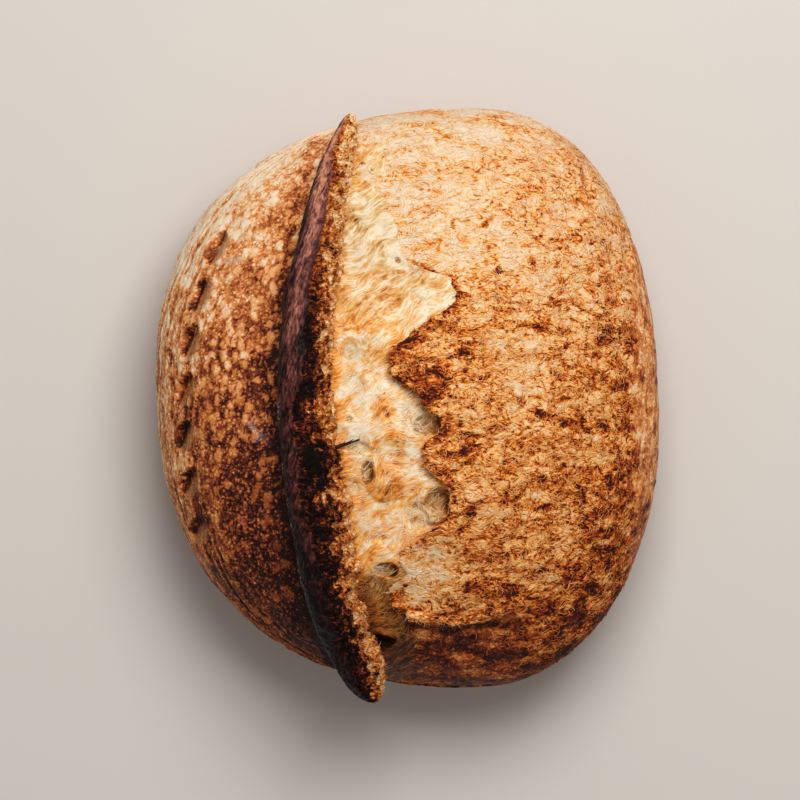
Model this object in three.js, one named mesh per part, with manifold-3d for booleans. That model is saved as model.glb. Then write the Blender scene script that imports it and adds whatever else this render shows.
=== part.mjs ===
// A round-ended sourdough loaf with one long score that has burst open in the oven: a flap of crust
// stands up along the score as a charred ear, pale torn crumb shows beside it, and the rest of the
// top is the swollen bloom, whose ragged edge overhangs the crumb. Short decorative cuts run down
// both flanks. Millimetres, +Z up. The origin is the middle of the flat base, +Y runs along the loaf
// towards the end where the bloom is palest, and the ear stands on the -X side of the middle.
import * as THREE from "three";
import { mergeVertices } from "three/addons/utils/BufferGeometryUtils.js";
import Module from "manifold-3d";

const wasm = await Module();
wasm.setup();

// ---- driving dimensions ----
const LENGTH = 235; // from end to end
const WIDTH = 204; // across the widest section
const HEIGHT = 100; // of the crust's dome, without the bloom's swell and the ear
const WIDEST_AT = 40; // height of the widest line above the base
const BELLY = 57; // how far the underside would reach below the widest line if the base were round
const ROUNDNESS = 2.15; // power of the section's superellipse, where 2 is an ellipse
const RING_STEPS = 68; // faces round one section
const LENGTH_STEPS = 42; // faces from end to end

// Plan outline: both ends lie off the middle, and each side bulges by its own amount at its own place.
const HALF_LENGTH = LENGTH / 2;
const SPINE_X = 26;
const LEFT_SIDE = { reach: WIDTH / 2 + SPINE_X, widestY: 11.5, power: { front: 2.4, back: 2.25 } };
const RIGHT_SIDE = { reach: WIDTH / 2 - SPINE_X, widestY: -10.5, power: { front: 2.1, back: 2.3 } };

// The bloom swells beside the ear, and the old crust dips along the ear's foot. Towards the front the
// bloom's skin has torn across, and the surface in front of that tear lies lower.
const SWELL = { height: 7, x: 22, spanX: 42, y: -6, spanY: 82 };
const DIP = { height: -3.5, x: -57, spanX: 12, y: 4, spanY: 90 };
const TERRACE = { height: -2.6, x: 17, spanX: 21, tearY: -90, curve: 0.009, tearWidth: 4, fadeY: -113 };

// The ear follows a shallow arc over the loaf. It is widest in front of the middle, the back tip is
// slim and the front tip is blunt, and both tips leave the crust in a straight line.
const EAR = {
  middleX: -38.6,
  middleY: 8,
  arc: 0.00167, // sideways drift per square millimetre from the middle
  backY: 112,
  frontY: -119,
  freeBackY: 92,
  freeFrontY: -96,
  tipFall: 0.75, // how much of the crust's own fall the free tips keep
  bluntness: { back: 5, front: 9 },
  widestY: -40,
  narrowing: 1.8e-5, // share of the width lost per square millimetre from the widest place
  wallWidth: 12.2, // from the crest to the smooth left wall
  tornWidth: 9.8, // from the crest to the torn foot
  rise: 10.5, // from the ring's centre up to the crest
  sunk: 9, // from the ring's centre down into the loaf
  centreUp: 3.5, // height of the ring's centre above the crust
  wallPower: 0.55, // steep left wall
  wallRisePower: 0.8,
  tornPower: 1.4, // sloping torn face on the right
  tornDrop: 5, // how far the torn foot lies below the ring's centre
  steps: 48,
  ringSteps: 16,
};

// Ragged edge of the bloom: a shallow arc with bays, where the crumb reaches in under the crust, and
// capes, where crust still spans it. Each is { y along the loaf, reach in X, span along Y }.
const EDGE = { middleX: 6.1, middleY: -26.8, arc: -0.00123 };
const BAYS_AND_CAPES = [
  { y: 40.3, reach: 19.4, span: 12.4 }, // pale tongue
  { y: 14.0, reach: -12.3, span: 9.5 }, // dark cape
  { y: -10.4, reach: 7.7, span: 5.4 }, // deep pocket
  { y: -40.9, reach: 11.3, span: 10.3 }, // double pocket
  { y: -63.7, reach: -7.8, span: 5.8 },
  { y: -78.0, reach: -10.4, span: 6.9 }, // torn flap
];
const CRUMB = { backY: 100, frontY: -106, depth: 4.6, backFade: 50, frontFade: 30, stepsX: 9, stepsY: 64 };

// Where the crumb lies deepest below the crust: beside the two pockets. Each is { y, span along Y }.
const DEEP_PARTS = [
  { y: 2, span: 15 },
  { y: -38, span: 24 },
];

// Bubbles that burst in the crumb: { x, y, radii across, along and deep, sunk below the crust }.
const POCKETS = [
  { x: 8.5, y: -10.4, across: 6.2, along: 4.6, deep: 5.5, sunk: 6.5 },
  { x: 12.5, y: -40.5, across: 6.4, along: 5.8, deep: 6, sunk: 6.5 },
  { x: -16, y: -29.8, across: 2.9, along: 4.8, deep: 3.5, sunk: 4.5 },
  { x: -8.5, y: -68.2, across: 5.2, along: 3.4, deep: 5, sunk: 5 },
  { x: -11.5, y: -97.5, across: 6.5, along: 3.6, deep: 5, sunk: 4.5 },
];

// Decorative cuts down the flanks, at an even pitch along each side.
const CUT = { length: 15.5, opening: 5, depth: 2.6 };
const LEFT_CUTS = { count: 7, firstY: 60.5, pitch: 18.9, middleX: -90.5, middleY: -8, arc: 0.0028, lean: 58 };
const RIGHT_CUTS = { count: 6, firstY: 86, pitch: 30, middleX: 98.5, middleY: 8, arc: 0.0042, lean: 104 };

// Low lumps of the baked surface, and the ear's uneven crest.
const LUMPS = { size: 0.8, lengthX: 9.5, lengthY: 8.2 };
const CREST_WAVES = [
  { size: 0.07, length: 41 },
  { size: 0.03, length: 15 },
];

// ---- shape of the loaf as functions ----

// A number raised to a power with its sign kept.
const signedPower = (value, power) => Math.sign(value) * Math.abs(value) ** power;

// A smooth hill of height 1 at 0, and a flat-topped one.
const hill = (distance, span) => Math.exp(-((distance / span) ** 2));
const plateau = (distance, span) => Math.exp(-(Math.abs(distance / span) ** 3));

// 0 before start, 1 after end, smooth between.
const ease = (value, start, end) => THREE.MathUtils.smoothstep(value, start, end);

// X of a shallow arc at y.
const arcX = (arc, y) => arc.middleX + arc.arc * (y - arc.middleY) ** 2;

// How far a side of the outline reaches from the spine at y.
function sideReach(side, y) {
  const offset = y - side.widestY;
  const span = offset > 0 ? HALF_LENGTH - side.widestY : HALF_LENGTH + side.widestY;
  const power = offset > 0 ? side.power.back : side.power.front;
  const share = Math.min(1, Math.abs(offset) / span);
  return side.reach * (1 - share ** power) ** (1 / power);
}

// The section across the loaf at y: its middle, half width, and how far it rises and drops.
function section(y) {
  const left = SPINE_X - sideReach(LEFT_SIDE, y);
  const right = SPINE_X + sideReach(RIGHT_SIDE, y);
  const share = Math.min(1, Math.abs(y) / HALF_LENGTH);
  const fullness = (1 - share ** 2.3) ** (1 / 2.05);
  return {
    middle: (left + right) / 2,
    half: (right - left) / 2,
    rise: (HEIGHT - WIDEST_AT) * fullness,
    drop: BELLY * fullness,
  };
}

// Added height of the dome from the bloom's swell, the dip beside the ear and the low lumps.
function swellAt(x, y) {
  const bloom = SWELL.height * hill(x - SWELL.x, SWELL.spanX) * hill(y - SWELL.y, SWELL.spanY);
  const dip = DIP.height * hill(x - DIP.x, DIP.spanX) * hill(y - DIP.y, DIP.spanY);
  const lumps =
    LUMPS.size *
    (Math.sin(x / LUMPS.lengthX + 1.7 * Math.sin(y / 23)) * Math.sin(y / LUMPS.lengthY + 0.6) +
      0.6 * Math.sin((x + y) / 5.3) * Math.sin((x - 2 * y) / 11.7));
  const tearAt = TERRACE.tearY + TERRACE.curve * (x - TERRACE.x) ** 2;
  const inFront = 1 - ease(y, tearAt - TERRACE.tearWidth, tearAt);
  const terrace =
    TERRACE.height * plateau(x - TERRACE.x, TERRACE.spanX) * inFront * ease(y, TERRACE.fadeY, TERRACE.tearY);
  return bloom + dip + lumps + terrace;
}

// Height of the crust above a place in plan.
function crustHeight(x, y) {
  const at = section(y);
  const share = Math.min(1, Math.abs(x - at.middle) / at.half);
  return WIDEST_AT + (at.rise + swellAt(x, y)) * (1 - share ** ROUNDNESS) ** (1 / ROUNDNESS);
}

// A point on the crust and the directions out of it, along it in +Y, and across it.
function onCrust(x, y) {
  const step = 0.5;
  const slopeX = (crustHeight(x + step, y) - crustHeight(x - step, y)) / (2 * step);
  const slopeY = (crustHeight(x, y + step) - crustHeight(x, y - step)) / (2 * step);
  const out = new THREE.Vector3(-slopeX, -slopeY, 1).normalize();
  const along = new THREE.Vector3(0, 1, slopeY).normalize();
  const across = new THREE.Vector3().crossVectors(along, out).normalize();
  return { point: new THREE.Vector3(x, y, crustHeight(x, y)), out, along, across };
}

// X of the bloom's ragged edge at y.
function edgeX(y) {
  const features = BAYS_AND_CAPES.map((f) => f.reach * plateau(y - f.y, f.span));
  return arcX(EDGE, y) + features.reduce((sum, reach) => sum + reach, 0);
}

// ---- helpers that move the vertices of three.js geometries and make solids of them ----

function bend(geometry, move) {
  const position = geometry.attributes.position;
  const vertex = new THREE.Vector3();
  for (let i = 0; i < position.count; i++) {
    vertex.fromBufferAttribute(position, i);
    position.setXYZ(i, ...move(vertex).toArray());
  }
  return geometry;
}

function solidOf(geometry) {
  geometry.deleteAttribute("normal");
  geometry.deleteAttribute("uv");
  const merged = mergeVertices(geometry, 1e-4);
  return new wasm.Manifold(
    new wasm.Mesh({
      numProp: 3,
      vertProperties: merged.attributes.position.array,
      triVerts: new Uint32Array(merged.index.array),
    }),
  );
}

function geometryOf(solid) {
  const mesh = solid.getMesh();
  const geometry = new THREE.BufferGeometry();
  geometry.setAttribute("position", new THREE.BufferAttribute(mesh.vertProperties, 3));
  geometry.setIndex(new THREE.BufferAttribute(mesh.triVerts, 1));
  geometry.computeVertexNormals();
  return geometry;
}

// ---- pieces of the one solid ----

// The whole loaf before it burst: a sphere with its poles at the two ends, stretched to the sections
// and cut flat where it stands.
function loafBody() {
  return bend(new THREE.SphereGeometry(1, RING_STEPS, LENGTH_STEPS), (v) => {
    const y = HALF_LENGTH * v.y;
    const at = section(y);
    const ring = Math.hypot(v.x, v.z);
    if (ring < 1e-6) return new THREE.Vector3(at.middle, y, WIDEST_AT);
    const x = at.middle + at.half * signedPower(v.x / ring, 2 / ROUNDNESS);
    const lift = signedPower(v.z / ring, 2 / ROUNDNESS);
    const z = lift > 0 ? (at.rise + swellAt(x, y)) * lift : at.drop * lift;
    return new THREE.Vector3(x, y, Math.max(0, WIDEST_AT + z));
  });
}

// What is missing between the ear and the ragged edge: a block whose lower face is the torn crumb.
function crumbOpening() {
  const blank = new THREE.BoxGeometry(1, 1, 1, CRUMB.stepsX, CRUMB.stepsY, 1);
  return bend(blank, (v) => {
    const y = THREE.MathUtils.lerp(CRUMB.frontY, CRUMB.backY, v.y + 0.5);
    const across = v.x + 0.5;
    const x = THREE.MathUtils.lerp(arcX(EAR, y) + 2, edgeX(y), across);
    if (v.z > 0) return new THREE.Vector3(x, y, HEIGHT * 1.5);
    const ends =
      ease(y, CRUMB.frontY, CRUMB.frontY + CRUMB.frontFade) *
      (1 - ease(y, CRUMB.backY - CRUMB.backFade, CRUMB.backY));
    const deep = Math.max(...DEEP_PARTS.map((part) => plateau(y - part.y, part.span))) * across;
    const torn = 0.6 * Math.sin(y / 3.1 + x / 4.3) + 0.45 * Math.sin(y / 1.9 - x / 3.7);
    const below = CRUMB.depth * (0.3 * (1 - across) + 0.1 + 0.65 * deep) + 0.8;
    const depth = below * (1.3 * ends - 0.3) + torn * ends;
    return new THREE.Vector3(x, y, crustHeight(x, y) - depth);
  });
}

// Where the ear stands at y: on the crust, or on a straight line from it at the free tips.
function earFoot(y) {
  const held = THREE.MathUtils.clamp(y, EAR.freeFrontY, EAR.freeBackY);
  const at = onCrust(arcX(EAR, held), held);
  const before = onCrust(arcX(EAR, held - 1), held - 1).point;
  const run = at.point.clone().sub(before).multiply(new THREE.Vector3(1, 1, EAR.tipFall));
  at.point.addScaledVector(run, y - held);
  return at;
}

// The ear: a closed ridge carried along its arc, steep and smooth on the left, sloping and torn on
// the right, with a crest of uneven height.
function ear() {
  const middleY = (EAR.backY + EAR.frontY) / 2;
  const halfSpan = (EAR.backY - EAR.frontY) / 2;
  return bend(new THREE.SphereGeometry(1, EAR.ringSteps, EAR.steps), (v) => {
    const y = middleY + halfSpan * v.y;
    const at = earFoot(y);
    const bluntness = v.y > 0 ? EAR.bluntness.back : EAR.bluntness.front;
    const taper = 1 - EAR.narrowing * (y - EAR.widestY) ** 2;
    const size = taper * (1 - Math.abs(v.y) ** bluntness) ** 0.4;
    const ring = Math.hypot(v.x, v.z) || 1;
    const side = v.x / ring;
    const up = v.z / ring;
    const waves = CREST_WAVES.reduce((sum, w) => sum + w.size * Math.sin((2 * Math.PI * y) / w.length), 0);
    const crest = 1 + waves * Math.max(0, up);
    const wall = side < 0;
    const share = signedPower(side, wall ? EAR.wallPower : EAR.tornPower);
    const across = (wall ? EAR.wallWidth : EAR.tornWidth) * share;
    const risePower = wall ? EAR.wallRisePower : EAR.tornPower;
    const lift = up > 0 ? EAR.rise * crest * up ** risePower : EAR.sunk * up;
    const height = lift - EAR.tornDrop * Math.max(0, share) ** 2;
    return at.point
      .clone()
      .addScaledVector(at.across, across * size)
      .addScaledVector(at.out, EAR.centreUp + height * size);
  });
}

// An ellipsoid let into the crust at a place in plan, turned about the outward direction.
function hollow({ x, y, across, along, deep, sunk }, detail = 2, turn = 0) {
  const at = onCrust(x, y);
  const frame = new THREE.Matrix4().makeBasis(at.across, at.along, at.out);
  const placed = new THREE.Matrix4()
    .makeTranslation(...at.point.clone().addScaledVector(at.out, -sunk))
    .multiply(frame)
    .multiply(new THREE.Matrix4().makeRotationZ(turn))
    .multiply(new THREE.Matrix4().makeScale(across, along, deep));
  return new THREE.IcosahedronGeometry(1, detail).applyMatrix4(placed);
}

// One row of decorative cuts: slim lens-shaped hollows, leaning from the row's own direction.
function cutRow(row) {
  return Array.from({ length: row.count }, (_, i) => {
    const y = row.firstY - row.pitch * i;
    const lens = { x: arcX({ ...row, arc: -Math.sign(row.middleX) * row.arc }, y), y };
    Object.assign(lens, { across: CUT.length / 2, along: CUT.opening / 2, deep: CUT.depth, sunk: 0 });
    return hollow(lens, 1, THREE.MathUtils.degToRad(row.lean));
  });
}

function wholeLoaf() {
  let loaf = solidOf(loafBody()).subtract(solidOf(crumbOpening())).add(solidOf(ear()));
  const hollows = [...POCKETS.map((pocket) => hollow(pocket)), ...cutRow(LEFT_CUTS), ...cutRow(RIGHT_CUTS)];
  for (const geometry of hollows) loaf = loaf.subtract(solidOf(geometry));
  return loaf;
}

const crust = new THREE.MeshStandardMaterial({ color: 0xb5713a, roughness: 0.7, metalness: 0 });
const loaf = new THREE.Mesh(geometryOf(wholeLoaf()), crust);
loaf.name = "loaf";

const group = new THREE.Group();
group.add(loaf);
export default group;
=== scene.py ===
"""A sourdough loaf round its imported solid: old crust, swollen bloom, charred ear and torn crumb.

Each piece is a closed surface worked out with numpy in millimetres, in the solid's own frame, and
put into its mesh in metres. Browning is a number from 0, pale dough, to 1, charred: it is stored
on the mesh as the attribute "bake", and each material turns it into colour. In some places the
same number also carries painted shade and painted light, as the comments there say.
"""

import math

import bpy
import numpy as np
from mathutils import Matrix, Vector


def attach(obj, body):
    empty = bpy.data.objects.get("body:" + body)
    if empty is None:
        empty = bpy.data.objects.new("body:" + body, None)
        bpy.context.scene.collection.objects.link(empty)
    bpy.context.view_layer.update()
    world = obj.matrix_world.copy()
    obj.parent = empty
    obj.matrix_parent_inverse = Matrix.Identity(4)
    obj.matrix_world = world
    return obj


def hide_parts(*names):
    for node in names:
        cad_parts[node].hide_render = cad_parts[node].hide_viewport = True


bl_info = {
    "name": "Sourdough Loaf",
    "version": (1, 0, 0),
    "blender": (4, 5, 0),
    "location": "View3D > Sidebar > Loaf",
    "description": "Builds a crusty sourdough loaf with a charred ear and an open bloom",
    "category": "Add Mesh",
}

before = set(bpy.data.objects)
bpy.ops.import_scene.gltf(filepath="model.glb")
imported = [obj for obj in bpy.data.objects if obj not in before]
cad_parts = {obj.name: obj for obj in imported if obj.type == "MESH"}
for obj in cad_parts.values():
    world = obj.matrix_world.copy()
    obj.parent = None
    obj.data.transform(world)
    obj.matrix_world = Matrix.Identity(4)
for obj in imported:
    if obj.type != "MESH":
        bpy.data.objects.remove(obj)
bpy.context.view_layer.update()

MM = 0.001  # metres in a millimetre
TINY = 1e-9  # keeps divisions away from zero

# ---- the loaf's sizes in millimetres, as the solid has them ----

LENGTH = 235
WIDTH = 204
HEIGHT = 100
WIDEST_AT = 40
BELLY = 57
ROUNDNESS = 2.15
HALF_LENGTH = LENGTH / 2
SPINE_X = 26
LEFT_SIDE = {"reach": WIDTH / 2 + SPINE_X, "widest_y": 11.5, "front": 2.4, "back": 2.25}
RIGHT_SIDE = {"reach": WIDTH / 2 - SPINE_X, "widest_y": -10.5, "front": 2.1, "back": 2.3}
SWELL = {"height": 7, "x": 22, "span_x": 42, "y": -6, "span_y": 82}
DIP = {"height": -3.5, "x": -57, "span_x": 12, "y": 4, "span_y": 90}
TERRACE = {  # the lower ground in front of the tear across the bloom
    "height": -2.6,
    "x": 17,
    "span_x": 21,
    "tear_y": -90,
    "curve": 0.009,
    "width": 4,
    "fade_y": -113,
}
LUMPS = {"size": 0.8, "length_x": 9.5, "length_y": 8.2}

EAR = {
    "middle_x": -38.6,
    "middle_y": 8,
    "arc": 0.00167,
    "back_y": 112,
    "front_y": -119,
    "free_back_y": 92,
    "free_front_y": -96,
    "tip_fall": 0.75,
    "blunt_back": 5,
    "blunt_front": 9,
    "widest_y": -40,
    "narrowing": 1.8e-5,
    "wall_width": 12.2,
    "torn_width": 9.8,
    "rise": 10.5,
    "sunk": 9,
    "centre_up": 3.5,
    "wall_power": 0.55,
    "wall_rise_power": 0.8,
    "torn_power": 1.4,
    "torn_drop": 5,
}
CREST_WAVES = [(0.07, 41), (0.03, 15)]  # size, length

# Ragged edge of the bloom: a shallow arc with bays and capes, each (y, reach, span). The first bay
# lies 3 mm farther back than in the solid, and edge_x() makes it blunter behind.
EDGE = {"middle_x": 6.1, "middle_y": -26.8, "arc": -0.00123}
BAYS_AND_CAPES = [
    (43.2, 18.4, 11.8),
    (14.0, -12.3, 9.5),
    (-10.4, 7.7, 5.4),
    (-40.9, 11.3, 10.3),
    (-63.7, -7.8, 5.8),
    (-78.0, -10.4, 6.9),
]
CRUMB = {"back_y": 100, "front_y": -106, "depth": 4.6, "back_fade": 50, "front_fade": 30}

# Bubbles that burst in the crumb: x, y, radii across, along and deep, sunk below the crust.
POCKETS = [
    (8.5, -10.4, 6.2, 4.6, 5.5, 6.5),
    (12.5, -40.5, 6.4, 5.8, 6.0, 6.5),
    (-16.0, -29.8, 2.9, 4.8, 3.5, 4.5),
    (-8.5, -68.2, 5.2, 3.4, 5.0, 5.0),
    (-11.5, -97.5, 6.5, 3.6, 5.0, 4.5),
]
CUT = {"length": 15.5, "opening": 5.0, "depth": 2.9}
# Each row of cuts: how many, the Y of the first and the pitch, the arc that they lie on, and the
# degrees that each leans from straight across.
LEFT_CUTS = {
    "count": 7,
    "first_y": 60.5,
    "pitch": 18.9,
    "middle_x": -90.5,
    "middle_y": -8,
    "arc": 0.0028,
    "lean": 58,
}
RIGHT_CUTS = {
    "count": 6,
    "first_y": 86,
    "pitch": 30,
    "middle_x": 98.5,
    "middle_y": 8,
    "arc": -0.0042,
    "lean": 104,
}


# ---- small functions of arrays ----


def signed_power(value, power):
    """A number raised to a power with its sign kept."""
    return np.sign(value) * np.abs(value) ** power


def hill(distance, span):
    """A smooth hill of height 1 at 0."""
    return np.exp(-((distance / span) ** 2))


def plateau(distance, span):
    """A flat-topped hill of height 1 at 0."""
    return np.exp(-(np.abs(distance / span) ** 3))


def ease(value, start, end):
    """0 before start, 1 after end, and 3t^2 - 2t^3 of the share t between."""
    share = np.clip((value - start) / (end - start), 0, 1)
    return share * share * (3 - 2 * share)


def mix(a, b, share):
    """a at share 0, b at share 1, straight between."""
    return a + (b - a) * share


def oval(x, y, at_x, at_y, across, along):
    """Distance from a place, as a share of an oval's own radii."""
    return np.hypot((x - at_x) / across, (y - at_y) / along)


def unit(vectors):
    """Vectors divided by their own lengths."""
    return vectors / np.maximum(np.linalg.norm(vectors, axis=-1, keepdims=True), TINY)


def stacked(x, y, z):
    """Points (..., 3) from coordinates of one shape, or that broadcast to one."""
    return np.stack(np.broadcast_arrays(x, y, z), axis=-1).astype(float)


# ---- seeded noise: each use has a seed number of its own, so that no two patterns agree ----


def scrambled(cells, seed):
    """Whole-number cells (..., 3) to unsigned 32-bit numbers, by multiplying, shifting and xor."""
    i, j, k = (cells[..., axis].astype(np.int64).astype(np.uint32) for axis in range(3))
    h = i * np.uint32(0x8DA6B343) ^ j * np.uint32(0xD8163841) ^ k * np.uint32(0xCB1AB31F)
    h = h ^ np.uint32(seed * 2654435 + 97)
    h = (h ^ (h >> np.uint32(15))) * np.uint32(0x2C1B3C6D)
    h = (h ^ (h >> np.uint32(12))) * np.uint32(0x297A2D39)
    return h ^ (h >> np.uint32(15))


def three_shares(numbers):
    """Three numbers from 0 to 1 out of the bits of each 32-bit number."""
    parts = [(numbers >> np.uint32(shift)) & np.uint32(1023) for shift in (0, 11, 21)]
    return np.stack(parts, axis=-1) / 1023.0


def noise(points, seed):
    """Gradient noise of about -1 to 1: at each corner of the cell that a point is in, a random
    gradient dotted with the offset from that corner, blended by 6t^5 - 15t^4 + 10t^3."""
    corner = np.floor(points)
    offset = points - corner
    blend = offset**3 * (offset * (offset * 6 - 15) + 10)
    height = np.zeros(points.shape[:-1])
    for step in np.ndindex(2, 2, 2):
        gradient = three_shares(scrambled(corner + step, seed)) * 2 - 1
        weight = np.prod(np.where(step, blend, 1 - blend), axis=-1)
        height += weight * np.sum(gradient * (offset - step), axis=-1)
    return height * 1.5


def layered(points, seed, octaves=3, gain=0.5):
    """Noise with finer noise on it: each octave has half the length and gain times the height."""
    return sum(gain**o * noise(points * 2.0**o, seed + 17 * o) for o in range(octaves))


def strands(points, seed):
    """Thread-like noise from 0 to 1: 1 along the lines where plain noise passes through zero, with
    threads of half that length at half the weight."""
    values = [noise(points * 2.0**octave, seed + 31 * octave) for octave in range(2)]
    coarse, fine = (1 - np.minimum(1, 2.2 * np.abs(value)) for value in values)
    return (coarse + 0.5 * fine) / 1.5


def curls_of(points, length, seed):
    """Three noises of one length side by side, by which a pattern is pushed about."""
    return np.stack([noise(points / length, seed + axis) for axis in range(3)], axis=-1)


def cells(points, seed):
    """Nearest of the random points that lie one to a cell: distance to it, how much farther the
    second nearest is, and a random share of its own."""
    corner = np.floor(points)
    first = np.full(points.shape[:-1], 9.0)
    second = first.copy()
    own = np.zeros_like(first)
    for step in np.ndindex(3, 3, 3):
        cell = corner + (np.array(step) - 1)
        numbers = scrambled(cell, seed)
        away = np.linalg.norm(cell + three_shares(numbers) - points, axis=-1)
        nearer = away < first
        second = np.where(nearer, first, np.minimum(second, away))
        own = np.where(nearer, (numbers >> np.uint32(7)) % np.uint32(1000) / 1000.0, own)
        first = np.where(nearer, away, first)
    return first, second - first, own


# ---- shape of the loaf as functions, as the solid has them ----


def arc_x(arc, y):
    """X of a shallow arc: its middle plus its curve times the squared distance from its middle."""
    return arc["middle_x"] + arc["arc"] * (y - arc["middle_y"]) ** 2


def side_reach(side, y):
    """How far a side of the plan outline reaches from the spine: a superellipse quadrant each way
    from the widest place."""
    offset = y - side["widest_y"]
    behind = offset > 0
    span = np.where(behind, HALF_LENGTH - side["widest_y"], HALF_LENGTH + side["widest_y"])
    power = np.where(behind, side["back"], side["front"])
    share = np.minimum(1, np.abs(offset) / span)
    return side["reach"] * (1 - share**power) ** (1 / power)


def section(y):
    """Middle, half width, rise and drop of the section across the loaf at y."""
    left = SPINE_X - side_reach(LEFT_SIDE, y)
    right = SPINE_X + side_reach(RIGHT_SIDE, y)
    share = np.minimum(1, np.abs(y) / HALF_LENGTH)
    fullness = (1 - share**2.3) ** (1 / 2.05)
    return (left + right) / 2, (right - left) / 2, (HEIGHT - WIDEST_AT) * fullness, BELLY * fullness


def tear_y(x):
    """Y of the tear across the bloom: a parabola about the middle of the lower ground."""
    return TERRACE["tear_y"] + TERRACE["curve"] * (x - TERRACE["x"]) ** 2


def swell(x, y):
    """Added height of the dome: the bloom's swell, the dip beside the ear, low lumps, and the
    lower ground in front of the tear."""
    bloom = SWELL["height"] * hill(x - SWELL["x"], SWELL["span_x"]) * hill(y - SWELL["y"], SWELL["span_y"])
    dip = DIP["height"] * hill(x - DIP["x"], DIP["span_x"]) * hill(y - DIP["y"], DIP["span_y"])
    woven = np.sin(x / LUMPS["length_x"] + 1.7 * np.sin(y / 23)) * np.sin(y / LUMPS["length_y"] + 0.6)
    lumps = LUMPS["size"] * (woven + 0.6 * np.sin((x + y) / 5.3) * np.sin((x - 2 * y) / 11.7))
    tear = tear_y(x)
    in_front = (1 - ease(y, tear - TERRACE["width"], tear)) * ease(y, TERRACE["fade_y"], TERRACE["tear_y"])
    return bloom + dip + lumps + TERRACE["height"] * plateau(x - TERRACE["x"], TERRACE["span_x"]) * in_front


def crust_height(x, y):
    """Height of the crust above a place in plan: a superellipse over the section's width."""
    middle, half, rise, _ = section(y)
    share = np.minimum(1, np.abs(x - middle) / np.maximum(half, TINY))
    return WIDEST_AT + (rise + swell(x, y)) * (1 - share**ROUNDNESS) ** (1 / ROUNDNESS)


def on_crust(x, y, step=0.5):
    """Point on the crust and the directions out of it, along it in +Y and across it."""
    slope_x = (crust_height(x + step, y) - crust_height(x - step, y)) / (2 * step)
    slope_y = (crust_height(x, y + step) - crust_height(x, y - step)) / (2 * step)
    out = unit(stacked(-slope_x, -slope_y, 1))
    along = unit(stacked(0, 1, slope_y))
    return stacked(x, y, crust_height(x, y)), out, along, unit(np.cross(along, out))


def body(angle, y):
    """Point of the whole loaf at an angle round the section at y: 0 at the right, a quarter turn
    at the top, half a turn at the left, and cut flat where it stands."""
    middle, half, rise, drop = section(y)
    x = middle + half * signed_power(np.cos(angle), 2 / ROUNDNESS)
    lift = signed_power(np.sin(angle), 2 / ROUNDNESS)
    z = WIDEST_AT + np.where(lift > 0, (rise + swell(x, y)) * lift, drop * lift)
    return stacked(x, y, np.maximum(z, 0))


def angle_at(x, y):
    """Angle on the upper half of the section at which body() has that x."""
    middle, half, _, _ = section(y)
    share = np.clip((x - middle) / np.maximum(half, TINY), -1, 1)
    return np.arccos(signed_power(share, ROUNDNESS / 2))


def edge_x(y):
    """X of the bloom's ragged edge: its arc with every bay and cape, drawn in to the ear at both
    ends of the opening."""
    forms = [reach * plateau(y - at, span) for at, reach, span in BAYS_AND_CAPES]
    ragged = arc_x(EDGE, y) + sum(forms) - forms[0] * ease(y, 47, 58)  # the first bay ends blunt behind
    closed = ease(y, 76, 99) + ease(-y, 104, 115)
    past_ear = ease(y, 103, 109) + ease(-y, 107, 112)
    return mix(ragged, arc_x(EAR, y) + 3 - 4 * past_ear, closed)


def inside_outline(x, y):
    """x held within the plan outline at y."""
    middle, half, _, _ = section(y)
    return np.clip(x, middle - 0.999 * half, middle + 0.999 * half)


def ear_foot(y):
    """Where the ear stands at y: on the crust, or at its tips on a straight line that leaves it."""
    held = np.clip(y, EAR["free_front_y"], EAR["free_back_y"])
    point, out, _, across = on_crust(arc_x(EAR, held), held)
    before = on_crust(arc_x(EAR, held - 1), held - 1)[0]
    run = (point - before) * np.array([1, 1, EAR["tip_fall"]])
    return point + run * (y - held)[..., None], out, across


def opening_depth(x, y):
    """How far the torn crumb lies below the crust: little at both ends and along the bloom's edge,
    more by the ear, most at the edge beside the two large pockets, and falling away where it runs
    under the bloom, with low waves."""
    foot = arc_x(EAR, y) + EAR["torn_width"]
    edge = edge_x(y)
    across = np.clip((x - foot) / np.maximum(edge - foot, 4), 0, 1)
    front = ease(y, CRUMB["front_y"], CRUMB["front_y"] + CRUMB["front_fade"])
    ends = front * (1 - ease(y, CRUMB["back_y"] - CRUMB["back_fade"], CRUMB["back_y"] - 25))
    deep = np.maximum(plateau(y - 2, 15), plateau(y + 38, 24)) * across
    waves = 0.2 * np.sin(y / 5.1 + x / 6.3)
    depth = CRUMB["depth"] * (0.30 * (1 - across) + 0.10 + 0.65 * deep) * ends
    return depth + 0.8 + waves * ends + 1.8 * ease(x - edge, 1.5, 6)


# ---- meshes ----


def outward(points, wrapped=True):
    """Unit normals of a grid of rings, closed or open: the cross product of its differences round
    each ring and from ring to ring, turned so that they point out of it."""
    if wrapped:
        around = np.roll(points, -1, axis=1) - np.roll(points, 1, axis=1)
    else:
        around = np.gradient(points, axis=1)
    normals = unit(np.cross(around, np.gradient(points, axis=0)))
    inward = np.sum(normals * (points - points.mean(axis=1, keepdims=True))) < 0
    return -normals if inward else normals


def tube_faces(rows, columns):
    """Corner numbers of the four-sided faces between rings, and of the triangles round two poles."""
    ring = np.arange(columns)
    first = np.arange(rows - 1)[:, None] * columns
    a, b = first + ring, first + (ring + 1) % columns
    quads = np.stack([a, b, b + columns, a + columns], axis=-1).reshape(-1, 4)
    last = (rows - 1) * columns
    near = np.stack([np.full(columns, rows * columns), (ring + 1) % columns, ring], axis=-1)
    far = np.stack([np.full(columns, rows * columns + 1), last + ring, last + (ring + 1) % columns], axis=-1)
    return quads, np.concatenate([near, far])


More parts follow.
